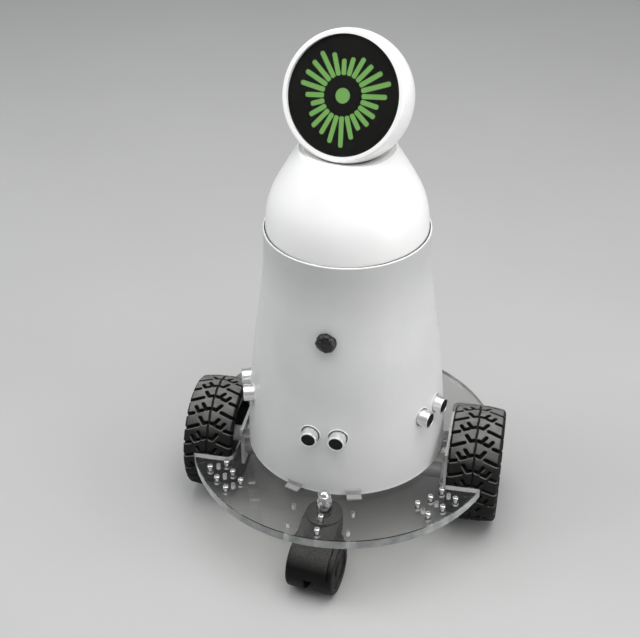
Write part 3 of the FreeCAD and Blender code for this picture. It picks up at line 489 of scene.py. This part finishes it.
def strap():
    """Woven webbing."""
    look = Finish("strap")
    warp = look.node("TexWave", {"Vector": look.place, "Scale": 300.0, "Distortion": 0.4}).outputs["Fac"]
    weft = look.node("TexWave", {"Vector": look.place, "Scale": 300.0, "Distortion": 0.4},
                     bands_direction="Z").outputs["Fac"]
    weave = look.sum(warp, weft, "MULTIPLY")
    base = look.blend(weave, (0.02, 0.02, 0.022), (0.07, 0.07, 0.075))
    look.principled(Base_Color=base, Roughness=0.8, Normal=look.bump(weave, 0.0002), Sheen_Weight=0.3)
    return look.material


def display_black():
    """Unlit display face: deep black with a barely visible pixel grid."""
    look = Finish("display")
    grid = look.cells(2200.0)
    base = look.blend(grid, (0.004, 0.004, 0.0035), (0.008, 0.008, 0.007))
    look.principled(Base_Color=base, Roughness=look.span(look.noise(40.0), 0.3, 0.7, 0.3, 0.4),
                    Normal=look.bump(grid, 0.00001), Specular_IOR_Level=0.08)
    return look.material


def display_green():
    """Lit green pixels, a little brighter in the middle of each."""
    look = Finish("display_green")
    grid = look.span(look.cells(2200.0), 0.0, 0.6, 1.0, 0.8)
    glow = look.blend(grid, (0.06, 0.22, 0.03), (0.155, 0.36, 0.072))
    look.principled(Base_Color=(0.02, 0.04, 0.015, 1.0), Roughness=0.4, Emission_Color=glow,
                    Emission_Strength=0.9)
    return look.material


def floor_finish():
    """Plain pale floor with a whisper of unevenness."""
    look = Finish("floor")
    clouds = look.span(look.noise(3.0, 4.0), 0.3, 0.7, 0.0, 1.0)
    base = look.blend(clouds, (0.44, 0.44, 0.436), (0.46, 0.46, 0.456))
    look.principled(Base_Color=base, Roughness=0.7, Normal=look.bump(look.noise(400.0), 0.00005))
    return look.material


def make_finishes():
    """A material for every slot of the record, and for the finishes that only exist here."""
    lengthwise = (0.04, 1.0, 1.0)
    return {
        "clear_acrylic": clear_acrylic(),
        "frosted_shell": frosted_shell(),
        "white_gloss": white_gloss(),
        "tyre_rubber": tyre_rubber(),
        "wheel_black": plastic("wheel_black", (0.022, 0.022, 0.023), 0.36, dust=0.2),
        "steel": metal("steel", (0.78, 0.78, 0.79), 0.17, edge=0.0002),
        "shaft_steel": metal("shaft_steel", (0.60, 0.60, 0.62), 0.25, (0.1, 1.0, 1.0)),
        "aluminium": metal("aluminium", (0.94, 0.945, 0.95), 0.40, (1.0, 0.04, 1.0), 1400.0,
                           0.00002, bare=0.12),
        "motor_metal": metal("motor_metal", (0.50, 0.50, 0.51), 0.33, lengthwise),
        "sensor_can": metal("sensor_can", (0.93, 0.93, 0.93), 0.34, depth=0.000002, stain=0.05, edge=0.0),
        "circuit_board": circuit_board(),
        "black_plastic": plastic("black_plastic", (0.018, 0.018, 0.019), 0.36),
        "castor_black": plastic("castor_black", (0.004, 0.004, 0.004), 0.42, dust=0.20, shine=0.15),
        "battery_case": plastic("battery_case", (0.045, 0.046, 0.050), 0.5, grain=0.0001, size=0.0012),
        "strap": strap(),
        "soft_black": soft_black(),
        "clear_clip": clear_clip(),
        "deck_sheet": plastic("deck_sheet", (0.70, 0.70, 0.69), 0.45),
        "display_glass": display_glass(),
        "display": display_black(),
        "sealant": plastic("sealant", (0.86, 0.86, 0.85), 0.16, grain=0.00002, patches=0.03, coat=0.6,
                           edge=0.0),
        "wire": plastic("wire", (0.55, 0.55, 0.54), 0.42, edge=0.0),
        "display_green": display_green(),
        "sensor_mesh": metal("sensor_mesh", (0.05, 0.05, 0.052), 0.45, edge=0.0),
        "sensor_well": plastic("sensor_well", (0.006, 0.006, 0.006), 0.6, edge=0.0),
    }


FINISHES = make_finishes()


def dress_cad_nodes():
    """Gives every CAD node its slot's material."""
    for name, piece in frame["nodes"].items():
        for slot in piece.material_slots:
            slot.material = FINISHES[NODE_SLOTS[name]]


# ---------------------------------------------------------------- tyres
TREAD_ROWS = 24                 # even: the two sides of the tread alternate
ROW_STEPS = 32                  # mesh columns in one row
GROOVE_DEPTH = 4.0 * MM
GROOVE_HALF = 0.7 * MM          # half the width of a groove's floor
GROOVE_WALL = 1.3 * MM          # width of the sloping wall beside it


def arc_through(a, b, c, steps):
    """Points on the circle arc from a through b to c."""
    (ax, ay), (bx, by), (cx, cy) = a, b, c
    a2, b2, c2 = ax * ax + ay * ay, bx * bx + by * by, cx * cx + cy * cy
    d = 2 * (ax * (by - cy) + bx * (cy - ay) + cx * (ay - by))
    ux = (a2 * (by - cy) + b2 * (cy - ay) + c2 * (ay - by)) / d
    uy = (a2 * (cx - bx) + b2 * (ax - cx) + c2 * (bx - ax)) / d
    start, end = math.atan2(ay - uy, ax - ux), math.atan2(cy - uy, cx - ux)
    turn = (end - start + math.pi) % (2 * math.pi) - math.pi
    radius = math.hypot(ax - ux, ay - uy)
    angles = [start + turn * k / steps for k in range(steps + 1)]
    return [(ux + radius * math.cos(angle), uy + radius * math.sin(angle)) for angle in angles]


def tyre_section():
    """Outer half section from crown to bead as (across, radius), in metres, from the CAD tyre's own box."""
    low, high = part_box("tyre_left")
    half = (high.x - low.x) / 2
    crown = (high.z - low.z) / 2
    top = arc_through((0.0, crown), (0.45 * half, crown - 0.4 * MM), (0.90 * half, crown - 1.8 * MM), 40)
    side = arc_through(top[-1], (half, crown - 6.2 * MM), (0.96 * half, crown - 10.5 * MM), 24)
    return top + side[1:] + [(0.90 * half, crown - 13.4 * MM), (0.82 * half, crown - 16.3 * MM)]


def groove_lines(pitch):
    """Grooves of two rows on one side, as lines of (round, across) points, in metres."""
    def marks(points, row):
        return [(row * pitch + along * MM, across * MM) for along, across in points]

    lines = []
    for row in (0, 1):
        lines.append(marks([(1.2, 1.9), (0.0, 5.4), (5.6, 9.6)], row))
    lines.append(marks([(-2.0, 10.9), (-5.6, 21.1), (-6.4, 29.5)], 1))
    lines.append(marks([(-1.4, 8.4), (-3.0, 12.7), (1.6, 16.0)], 0))
    lines.append(marks([(-5.2, 17.3), (-6.6, 22.8), (-6.9, 29.5)], 0))
    return lines


def distance_to_line(u, v, line, period):
    """Distance of grid points to a polyline that repeats every period along u."""
    best = np.full(u.shape, 1.0)
    for shift in (-period, 0.0, period):
        for (u0, v0), (u1, v1) in zip(line, line[1:]):
            du, dv = u1 - u0, v1 - v0
            pu, pv = u - (u0 + shift), v - v0
            t = np.clip((pu * du + pv * dv) / (du * du + dv * dv), 0.0, 1.0)
            best = np.minimum(best, np.hypot(pu - t * du, pv - t * dv))
    return best


def tread_depth(u, v, pitch):
    """Share of the groove depth at grid points u round and v across."""
    period = 2 * pitch
    share = np.zeros(u.shape)
    for side in (1, -1):
        shifted = np.mod(u if side > 0 else u - pitch, period)
        here = np.where(v * side > 0, 1.0, 0.0)
        for line in groove_lines(pitch):
            gap = distance_to_line(shifted, v * side, line, period)
            ramp = np.clip((GROOVE_HALF + GROOVE_WALL - gap) / GROOVE_WALL, 0.0, 1.0)
            share = np.maximum(share, ramp * ramp * (3 - 2 * ramp) * here)
    from_middle = np.abs(v + 0.25 * MM * np.sin(2 * math.pi * u / pitch))
    centre = np.clip((1.1 * MM - from_middle) / (0.5 * MM), 0.0, 1.0)
    return np.maximum(share, 0.42 * centre)


def make_tyre(side):
    """Tyre with a cut tread, fine ribs on the shoulders of its side walls and a bead ring."""
    name = "left" if side > 0 else "right"
    half = tyre_section()
    section = [(-x, r) for x, r in reversed(half[1:])] + half
    lengths = [0.0]
    for (x0, r0), (x1, r1) in zip(section, section[1:]):
        lengths.append(lengths[-1] + math.hypot(x1 - x0, r1 - r0))
    across = np.linspace(-lengths[-1] / 2, lengths[-1] / 2, 140)
    x = np.interp(across + lengths[-1] / 2, lengths, [p[0] for p in section])
    r = np.interp(across + lengths[-1] / 2, lengths, [p[1] for p in section])
    slope_x, slope_r = np.gradient(x), np.gradient(r)
    norm = np.hypot(slope_x, slope_r)
    out_x, out_r = -slope_r / norm, slope_x / norm
    columns = TREAD_ROWS * ROW_STEPS
    crown = float(r.max())
    pitch = 2 * math.pi * crown / TREAD_ROWS
    u, v = np.meshgrid(np.arange(columns) * pitch / ROW_STEPS, across, indexing="ij")
    share = tread_depth(u, v, pitch)
    fade = np.clip((31.0 * MM - np.abs(v)) / (4.0 * MM), 0.0, 1.0)
    rib_zone = np.clip(1 - np.abs(np.abs(v) - 32.0 * MM) / (2.0 * MM), 0.0, 1.0)
    ribs = rib_zone * (0.5 + 0.5 * np.cos(u / pitch * 2 * math.pi * 5)) * 0.35 * MM
    sink = share * fade * GROOVE_DEPTH + ribs
    angle = u / crown
    radius = r[None, :] - out_r[None, :] * sink
    side_x = x[None, :] - out_x[None, :] * sink
    points = np.stack([side_x * side, radius * np.sin(angle), radius * np.cos(angle)], axis=-1)
    rows = len(across)
    i, j = np.meshgrid(np.arange(columns), np.arange(rows), indexing="ij")
    nxt = (i + 1) % columns
    wrap = (j + 1) % rows
    corners = [i * rows + j, nxt * rows + j, nxt * rows + wrap, i * rows + wrap]
    quads = np.stack(corners, axis=-1).reshape(-1, 4)
    if side < 0:
        quads = quads[:, ::-1]
    shape = (points.reshape(-1, 3) + np.array(middle("tyre_" + name)), quads.tolist())
    piece = build("tyre_tread_" + name, [shape], FINISHES["tyre_rubber"], name + "_wheel",
                  sharp=60.0)
    groove = piece.data.attributes.new("groove", "FLOAT", "POINT")
    groove.data.foreach_set("value", (share * fade).astype(np.float32).ravel())
    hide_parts("tyre_" + name)


# ---------------------------------------------------------------- ultrasonic sensors
def sensor_places(node):
    """Places on the front faces of a sensor's two cans, with local Z outwards."""
    centre = middle(node)
    outward = Vector((centre.x, centre.y, 0)).normalized()
    face = max(v.co.dot(outward) for v in frame["nodes"][node].data.vertices)
    low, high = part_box(node)
    radius = (high.z - low.z) / 2
    sideways = UP.cross(outward)
    reach = max(v.co.dot(sideways) for v in frame["nodes"][node].data.vertices) - radius
    front = outward * face + UP * centre.z
    return radius, [facing(outward, front + sideways * (side * reach)) for side in (-1, 1)]


def can_shape(radius):
    """Drawn can with a rolled lip round its mesh face."""
    lip = 0.8 * MM
    well = radius - 1.15 * MM
    length = 15.0 * MM
    ridge = [(radius - lip + lip * math.cos(a), -lip + lip * math.sin(a))
             for a in (k * math.pi / 16 for k in range(0, 9))]
    inner = [(well + 0.35 * MM * math.cos(a), -0.45 * MM + 0.45 * MM * math.sin(a))
             for a in (math.pi / 2 + k * math.pi / 12 for k in range(0, 7))]
    outline = [(0.0, -length), (radius - 0.4 * MM, -length), (radius, -length + 0.4 * MM)] + ridge + inner
    outline += [(well, -1.4 * MM), (0.0, -1.4 * MM)]
    return lathe(outline, 72)


def grille_shape(radius):
    """Square wire mesh, bowed a little outwards."""
    wires = []
    pitch = 0.95 * MM
    count = int(radius / pitch)
    for direction in (0, 1):
        for k in range(-count, count + 1):
            offset = k * pitch
            reach = math.sqrt(max(radius ** 2 - offset ** 2, 0.0))
            if reach < 0.6 * MM:
                continue
            points = []
            for step in range(7):
                along = reach * (step / 3 - 1)
                lift = -0.75 * MM + 0.35 * MM * (1 - (along ** 2 + offset ** 2) / radius ** 2)
                lift += 0.09 * MM * (1 if direction else -1)
                points.append((offset, along, lift) if direction else (along, offset, lift))
            wires.append(tube(points, 0.17 * MM, sides=6, steps=1))
    return wires


def ring_of(path, thickness, sides=8):
    """Closed bead of round section along a closed path, with its thickness at each point."""
    vertices, faces = [], []
    count = len(path)
    centre = sum(path, Vector()) / count
    for i, point in enumerate(path):
        along = (path[(i + 1) % count] - path[i - 1]).normalized()
        outwards = point - centre
        outwards = (outwards - along * outwards.dot(along)).normalized()
        second = along.cross(outwards)
        for k in range(sides):
            angle = 2 * math.pi * k / sides
            vertices.append(point + thickness[i] * (outwards * math.cos(angle) + second * math.sin(angle)))
    for i in range(count):
        j = (i + 1) % count
        for k in range(sides):
            n = (k + 1) % sides
            faces.append([i * sides + k, i * sides + n, j * sides + n, j * sides + k])
    return vertices, faces


def glue_bead(radius, place):
    """Uneven bead of glue on the shell round the hole that a can stands in."""
    shell = frame["nodes"]["body_shell"]
    inward = -place.col[2].xyz
    path, thickness = [], []
    steps = 48
    for k in range(steps):
        turn = 2 * math.pi * k / steps
        above = place @ Vector((radius * math.cos(turn), radius * math.sin(turn), 10.0 * MM))
        hit, where, _, _ = shell.ray_cast(above, inward)
        if not hit:
            return None
        path.append(where)
        thickness.append((0.50 + 0.22 * noise.noise(where * 260.0)) * MM)
    return ring_of(path, thickness)


def make_sensors():
    for node in sorted(n for n in frame["nodes"] if n.startswith("sonar_cans_")):
        radius, places = sensor_places(node)
        name = node.replace("sonar_cans_", "")
        cans = repeated(can_shape(radius), places)
        piece = build("sensor_cans_" + name, cans, FINISHES["sensor_can"], "chassis")
        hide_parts(node)
        well = lathe([(0, -1.38 * MM), (radius - 1.2 * MM, -1.38 * MM), (radius - 1.2 * MM, -1.2 * MM),
                      (0, -1.2 * MM)], 48)
        build("sensor_wells_" + name, repeated(well, places), FINISHES["sensor_well"], "chassis")
        wires = [placed(wire, place) for place in places for wire in grille_shape(radius - 1.22 * MM)]
        build("sensor_grilles_" + name, wires, FINISHES["sensor_mesh"], "chassis")
        beads = [bead for bead in (glue_bead(radius + 1.7 * MM, place) for place in places) if bead]
        build("sensor_glue_" + name, beads, FINISHES["sealant"], "chassis", sharp=80.0)


# ---------------------------------------------------------------- microphone
def make_microphone():
    """Hand-shaped soft cap: a flattened ball with lumps and a pinched rim."""
    low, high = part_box("microphone")
    outward = Vector((0.5 * (low.x + high.x), low.y, 0)).normalized()
    lean = math.radians(5.5)
    outward = (outward * math.cos(lean) + UP * math.sin(lean)).normalized()
    cap_height = 7.2 * MM
    radius = 9.2 * MM
    front = Vector((0, low.y, 0)).length
    level = Vector((outward.x, outward.y, 0)).normalized()
    base = level * (front - cap_height) + UP * (0.5 * (low.z + high.z))
    rings, segments = 28, 64
    turns = [k * math.pi / 2 / rings for k in range(rings + 1)]
    profile = [(radius * math.sin(t) ** 0.75, cap_height * max(math.cos(t), 0.0) ** 0.8) for t in turns]
    profile += [(radius * 0.9, -0.6 * MM), (0.0, -0.6 * MM)]
    shape_vertices, shape_faces = lathe(profile, segments)
    seed = Vector((3.1, 1.7, 0.4))
    lumpy = []
    for v in shape_vertices:
        swell = noise.noise(v * 210.0 + seed) * 1.0 * MM + noise.noise(v * 480.0 + seed) * 0.45 * MM
        away = Vector((v.x, v.y, v.z * 0.7))
        lumpy.append(v + away.normalized() * swell if away.length > 1e-6 else v)
    piece = build("microphone_cap", [placed((lumpy, shape_faces), facing(outward, base))],
                  FINISHES["soft_black"], "chassis", sharp=80.0)
    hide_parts("microphone")


# ---------------------------------------------------------------- display
METER_BARS = 24


def make_display():
    """Slightly domed cover glass over a generic ring of level-meter bars."""
    place = head_place()
    centre = Vector(JOINTS["head_pan"]["pos_m"])
    lens_middle = (middle("display_lens") - centre).length
    front, back = lens_middle + 0.75 * MM, lens_middle - 0.70 * MM
    lens = frame["nodes"]["display_lens"].data
    radius = max((v.co - centre).cross(place.col[2].xyz).length for v in lens.vertices)
    outline = [(0.0, back), (radius - 0.3 * MM, back), (radius, back + 0.3 * MM), (radius, front - 0.7 * MM)]
    outline += [(radius - 0.6 * MM, front - 0.15 * MM)]
    outline += [(radius * (1 - k / 6), front - 0.12 * MM * (1 - k / 6) ** 2) for k in range(1, 7)]
    glass = build("cover_glass", [placed(lathe(outline, 128), place)], FINISHES["display_glass"], "head")
    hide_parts("display_lens")
    bars = []
    for k in range(METER_BARS):
        share = 0.55 + 0.30 * math.sin(3 * 2 * math.pi * k / METER_BARS + 0.6) \
            + 0.15 * math.sin(7 * 2 * math.pi * k / METER_BARS)
        inner = 17.0 * MM
        outer = inner + (11.0 + 16.0 * max(share, 0.0)) * MM
        width = 4.2 * MM
        outline = softened([(inner, -width / 2), (outer, -width / 2), (outer, width / 2), (inner, width / 2)],
                           1.9 * MM)
        turn = Matrix.Rotation(2 * math.pi * (k + 0.5) / METER_BARS, 4, "Z")
        bars.append(placed(prism(outline, back - 0.02 * MM, back + 0.06 * MM), place @ turn))
    dot = lathe([(0.0, back - 0.02 * MM), (6.5 * MM, back - 0.02 * MM), (6.5 * MM, back + 0.06 * MM),
                 (0.0, back + 0.06 * MM)], 64)
    bars.append(placed(dot, place))
    build("level_meter", bars, FINISHES["display_green"], "head")


# ---------------------------------------------------------------- shoulder dome and seam
def outer_profile(node, levels):
    """(radius, height) points up the outside of a node that is turned about the body's axis."""
    low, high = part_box(node)
    turned = frame["nodes"][node]
    profile = []
    for k in range(levels + 1):
        z = low.z + (high.z - low.z) * (0.002 + 0.996 * k / levels)
        reach = 0.0
        for turn in range(36):
            out = Vector((math.cos(turn * math.pi / 18), math.sin(turn * math.pi / 18), 0))
            hit, where, _, _ = turned.ray_cast(out * 0.3 + UP * z, -out)
            if hit:
                reach = max(reach, math.hypot(where.x, where.y))
        profile.append((reach, z))
    return profile


def make_dome():
    """Smooth dome with a rounded lip, from which a cone leads down to a spherical cup under the ball."""
    wall = 3.0 * MM
    lip = 1.0 * MM
    outside = smooth_path([(r, z, 0) for r, z in outer_profile("dome_cover", 26)], 3)
    edge, top_z = outside[-1].x, outside[-1].y
    centre = JOINTS["head_pan"]["pos_m"][2]
    ball = max((v.co - Vector((0, 0, centre))).length for v in frame["nodes"]["head_shell"].data.vertices)
    cup = ball + 0.9 * MM
    below = [(p.x, p.y) for p in outside if p.y < top_z - lip]
    crest = [(edge - lip + lip * math.cos(a), top_z - lip + lip * math.sin(a))
             for a in (k * math.pi / 16 for k in range(17))]
    bowl = [(cup * math.sin(a), centre - cup * math.cos(a))
            for a in np.linspace(math.radians(33), math.radians(27), 5)]
    under = [((cup + wall) * math.sin(a), centre - (cup + wall) * math.cos(a))
             for a in np.linspace(math.radians(27), math.radians(39), 7)]
    inside = [(r - wall, z) for r, z in reversed(below) if z < top_z - 9 * MM]
    dome = build("shoulder_dome", [lathe(below + crest + bowl + under + inside, 160)],
                 FINISHES["white_gloss"], "chassis", sharp=50.0)
    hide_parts("dome_cover")


def make_seam():
    """Uneven bead of clear sealant where the dome stands in the shell's mouth, and a black ring of painted shade
    in the joint above it.
    """
    shell_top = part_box("body_shell")[1].z
    radius = max(math.hypot(v.co.x, v.co.y) for v in frame["nodes"]["body_shell"].data.vertices
                 if v.co.z > shell_top - 0.5 * MM)

    def thickness(turn):
        where = Vector((math.cos(turn), math.sin(turn), 0.0))
        return (0.85 + 0.42 * noise.noise(where * 7.0) + 0.25 * noise.noise(where * 29.0)) * MM

    def gap(turn):
        """Thickness of a black ring of painted shade in the joint above the bead, open at the robot's sides and
        closed at its front and back.
        """
        return (0.10 + 0.34 * max(0.0, abs(math.cos(turn)) - 0.25)) * MM

    bead = hoop(radius - 1.1 * MM, shell_top, thickness)
    shadow = hoop(radius - 1.9 * MM, shell_top + 0.8 * MM, gap)
    build("seam_bead", [bead], FINISHES["sealant"], "chassis", sharp=80.0)
    # The shade in the joint is painted: a near-black ring in the sensor well finish.
    build("seam_gap", [shadow], FINISHES["sensor_well"], "chassis", sharp=80.0)


# ---------------------------------------------------------------- drive details
CABLE_HOLE = Vector((28.0, -50.0, 0.0)) * MM


def button_head(radius, height):
    """Domed screw head with a round socket, its seat at z = 0."""
    crown = [(radius * math.cos(a), height * (0.35 + 0.65 * math.sin(a)))
             for a in (k * math.pi / 16 for k in range(7))]
    socket = [(0.45 * radius, crown[-1][1]), (0.45 * radius, 0.4 * height), (0.0, 0.3 * height)]
    return lathe([(0.0, 0.0), (radius, 0.0)] + crown + socket, 28)


def make_motor_screws():
    """Six screws that hold each gear motor to its bracket."""
    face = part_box("motor_brackets")[1].x
    for name, side in (("left", 1), ("right", -1)):
        low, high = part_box("motor_" + name)
        axis_z = low.z + (high.z - low.z) / 2
        places = []
        for k in range(6):
            angle = math.radians(30 + 60 * k)
            reach = 15.5 * MM
            spot = Vector((side * face, reach * math.cos(angle), axis_z + reach * math.sin(angle)))
            places.append(facing((side, 0, 0), spot))
        build("motor_screws_" + name, repeated(button_head(2.7 * MM, 1.6 * MM), places), FINISHES["steel"],
              "chassis")


def make_motor_wires():
    """A pair of wires from each motor's tail to the plate's cable hole."""
    plate_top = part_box("base_plate")[1].z
    wires = []
    for name, side in (("left", 1), ("right", -1)):
        low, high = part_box("motor_" + name)
        tail = low.x if side > 0 else high.x
        axis_z = (low.z + high.z) / 2
        for offset in (-4.0 * MM, 4.0 * MM):
            start = Vector((tail + side * 1.0 * MM, offset, axis_z))
            away = start + Vector((-side * 9.0 * MM, -4.0 * MM, -3.0 * MM))
            bend = Vector((0.5 * (tail + CABLE_HOLE.x) - side * 6.0 * MM, -30.0 * MM, axis_z + 3.0 * MM))
            gather = CABLE_HOLE + Vector((0.3 * offset + side * 1.5 * MM, 5.0 * MM, plate_top - 20.0 * MM))
            through = CABLE_HOLE + Vector((0.3 * offset + side * 1.5 * MM, 0.0, plate_top - 4.0 * MM))
            wires.append(tube([start, away, bend, gather, through, through + UP * 30.0 * MM], 1.0 * MM))
    build("motor_wires", wires, FINISHES["wire"], "chassis", sharp=80.0)


def make_rim_detail(name, side):
    """Ribs, window rims and a raised hub ring on the outer face of a wheel's disc."""
    hub = middle("tyre_" + name)
    face_out = 6.0 * MM
    low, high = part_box("wheel_rim_" + name)
    reach = (high.z - low.z) / 2
    outward = facing((side, 0, 0), hub + Vector((side * face_out, 0, 0)))
    shapes = []
    for k in range(6):
        spin = outward @ Matrix.Rotation(math.radians(60 * k), 4, "Z")
        window = Matrix.Translation((0.0, 24.0 * MM, 0.0))
        rim = lathe([(8.1 * MM, -0.3 * MM), (10.0 * MM, -0.3 * MM), (9.8 * MM, 0.7 * MM),
                     (9.0 * MM, 1.2 * MM), (8.3 * MM, 0.9 * MM)], 40)
        shapes.append(placed(rim, spin @ window))
        rib = prism(softened([(-1.6 * MM, 12.0 * MM), (1.6 * MM, 12.0 * MM), (1.1 * MM, reach - 3.6 * MM),
                              (-1.1 * MM, reach - 3.6 * MM)], 0.6 * MM), -0.4 * MM, 3.2 * MM, 0.5 * MM)
        shapes.append(placed(rib, spin @ Matrix.Rotation(math.radians(30), 4, "Z")))
    ring = [(11.2 * MM, -0.3 * MM), (13.6 * MM, -0.3 * MM), (13.2 * MM, 2.2 * MM), (12.4 * MM, 2.9 * MM),
            (11.4 * MM, 2.5 * MM)]
    shapes.append(placed(lathe(ring, 64), outward))
    step = [(reach - 3.9 * MM, -0.3 * MM), (reach - 3.3 * MM, -0.3 * MM), (reach - 3.3 * MM, 9.0 * MM),
            (reach - 3.7 * MM, 9.0 * MM), (reach - 5.4 * MM, 1.2 * MM), (reach - 6.2 * MM, -0.3 * MM)]
    shapes.append(placed(lathe(step, 96), outward))
    build("rim_detail_" + name, shapes, FINISHES["wheel_black"], name + "_wheel")


def make_castor_caps():
    """Hub cap with a raised ring and a button in the recess of every castor wheel."""
    for node in sorted(n for n in frame["nodes"] if n.startswith("castor_wheel_")):
        which, end = node.replace("castor_wheel_", "").split("_")
        hub = middle(node)
        axle = middle("castor_axle_" + end)
        outward = (hub - axle).normalized()
        mesh = frame["nodes"][node].data
        face = max((v.co - axle).dot(outward) for v in mesh.vertices)
        place = facing(outward, axle + outward * face)
        corners = [(17.6, -2.6), (17.6, -1.1), (16.6, -0.6), (15.2, -0.7), (13.8, -1.5), (8.4, -1.5),
                   (7.4, -0.5), (3.0, -0.1), (0.0, 0.0)]
        curve = smooth_path([(radius * MM, z * MM, 0) for radius, z in corners], 3)
        cap = lathe([(0.0, curve[0].y)] + [(p.x, p.y) for p in curve], 64)
        build("castor_cap_" + which + "_" + end, [placed(cap, place)], FINISHES["castor_black"],
              end + "_castor_wheel_" + which)


# ---------------------------------------------------------------- stage
def make_stage():
    mesh = bpy.data.meshes.new("floor")
    reach = 14.0
    corners = [(-reach, -reach, 0), (reach, -reach, 0), (reach, reach, 0), (-reach, reach, 0)]
    mesh.from_pydata(corners, [], [(0, 1, 2, 3)])
    mesh.materials.append(floor_finish())
    floor = bpy.data.objects.new("floor", mesh)
    bpy.context.scene.collection.objects.link(floor)
    world = bpy.data.worlds.new("studio")
    world.use_nodes = True
    sky = world.node_tree.nodes["Background"]
    sky.inputs["Color"].default_value = (0.80, 0.82, 0.85, 1.0)
    sky.inputs["Strength"].default_value = 0.32
    bpy.context.scene.world = world


def add_light(name, place, target, size, power, colour=(1.0, 1.0, 1.0)):
    data = bpy.data.lights.new(name, "AREA")
    data.shape = "RECTANGLE"
    data.size, data.size_y = size
    data.energy = power
    data.color = colour
    light = bpy.data.objects.new(name, data)
    light.location = place
    light.rotation_euler = (Vector(target) - Vector(place)).to_track_quat("-Z", "Y").to_euler()
    bpy.context.scene.collection.objects.link(light)


def make_lights():
    middle_height = (0.0, 0.0, 0.25)
    add_light("ceiling", (0.25, -0.10, 2.0), (0.0, 0.0, 0.2), (1.8, 1.8), 41.0, (1.0, 1.0, 0.99))
    add_light("window", (1.8, -0.6, 0.7), middle_height, (1.0, 1.2), 14.0, (1.0, 1.0, 1.0))
    add_light("fill", (-1.6, -0.3, 1.5), middle_height, (1.1, 1.1), 15.0, (0.98, 0.99, 1.0))


def make_camera():
    """The photograph's view: about 0.87 m up, in front of the robot and a little to its left."""
    azimuth = math.radians(10.26)
    heading = azimuth + math.radians(1.52)
    pitch = math.radians(34.16)
    roll = math.radians(-0.57)
    distance, height = 0.96121, 0.86671
    right = Vector((math.cos(heading), math.sin(heading), 0))
    level = UP.cross(right)
    forward = level * math.cos(pitch) - UP * math.sin(pitch)
    up = right.cross(forward)
    rolled_right = right * math.cos(roll) + up * math.sin(roll)
    rolled_up = -right * math.sin(roll) + up * math.cos(roll)
    data = bpy.data.cameras.new("camera")
    data.lens = 68.78
    data.sensor_width = 36.0
    camera = bpy.data.objects.new("camera", data)
    stand = Vector((distance * math.sin(azimuth), -distance * math.cos(azimuth), height))
    camera.matrix_world = axes(rolled_right, rolled_up, -forward, stand)
    bpy.context.scene.collection.objects.link(camera)
    bpy.context.scene.camera = camera


def main():
    dress_cad_nodes()
    for side in (1, -1):
        make_tyre(side)
        make_rim_detail("left" if side > 0 else "right", side)
    make_sensors()
    make_microphone()
    make_display()
    make_dome()
    make_seam()
    make_motor_screws()
    make_motor_wires()
    make_castor_caps()
    make_stage()
    make_lights()
    make_camera()
    bpy.context.scene.view_settings.view_transform = "Standard"


main()
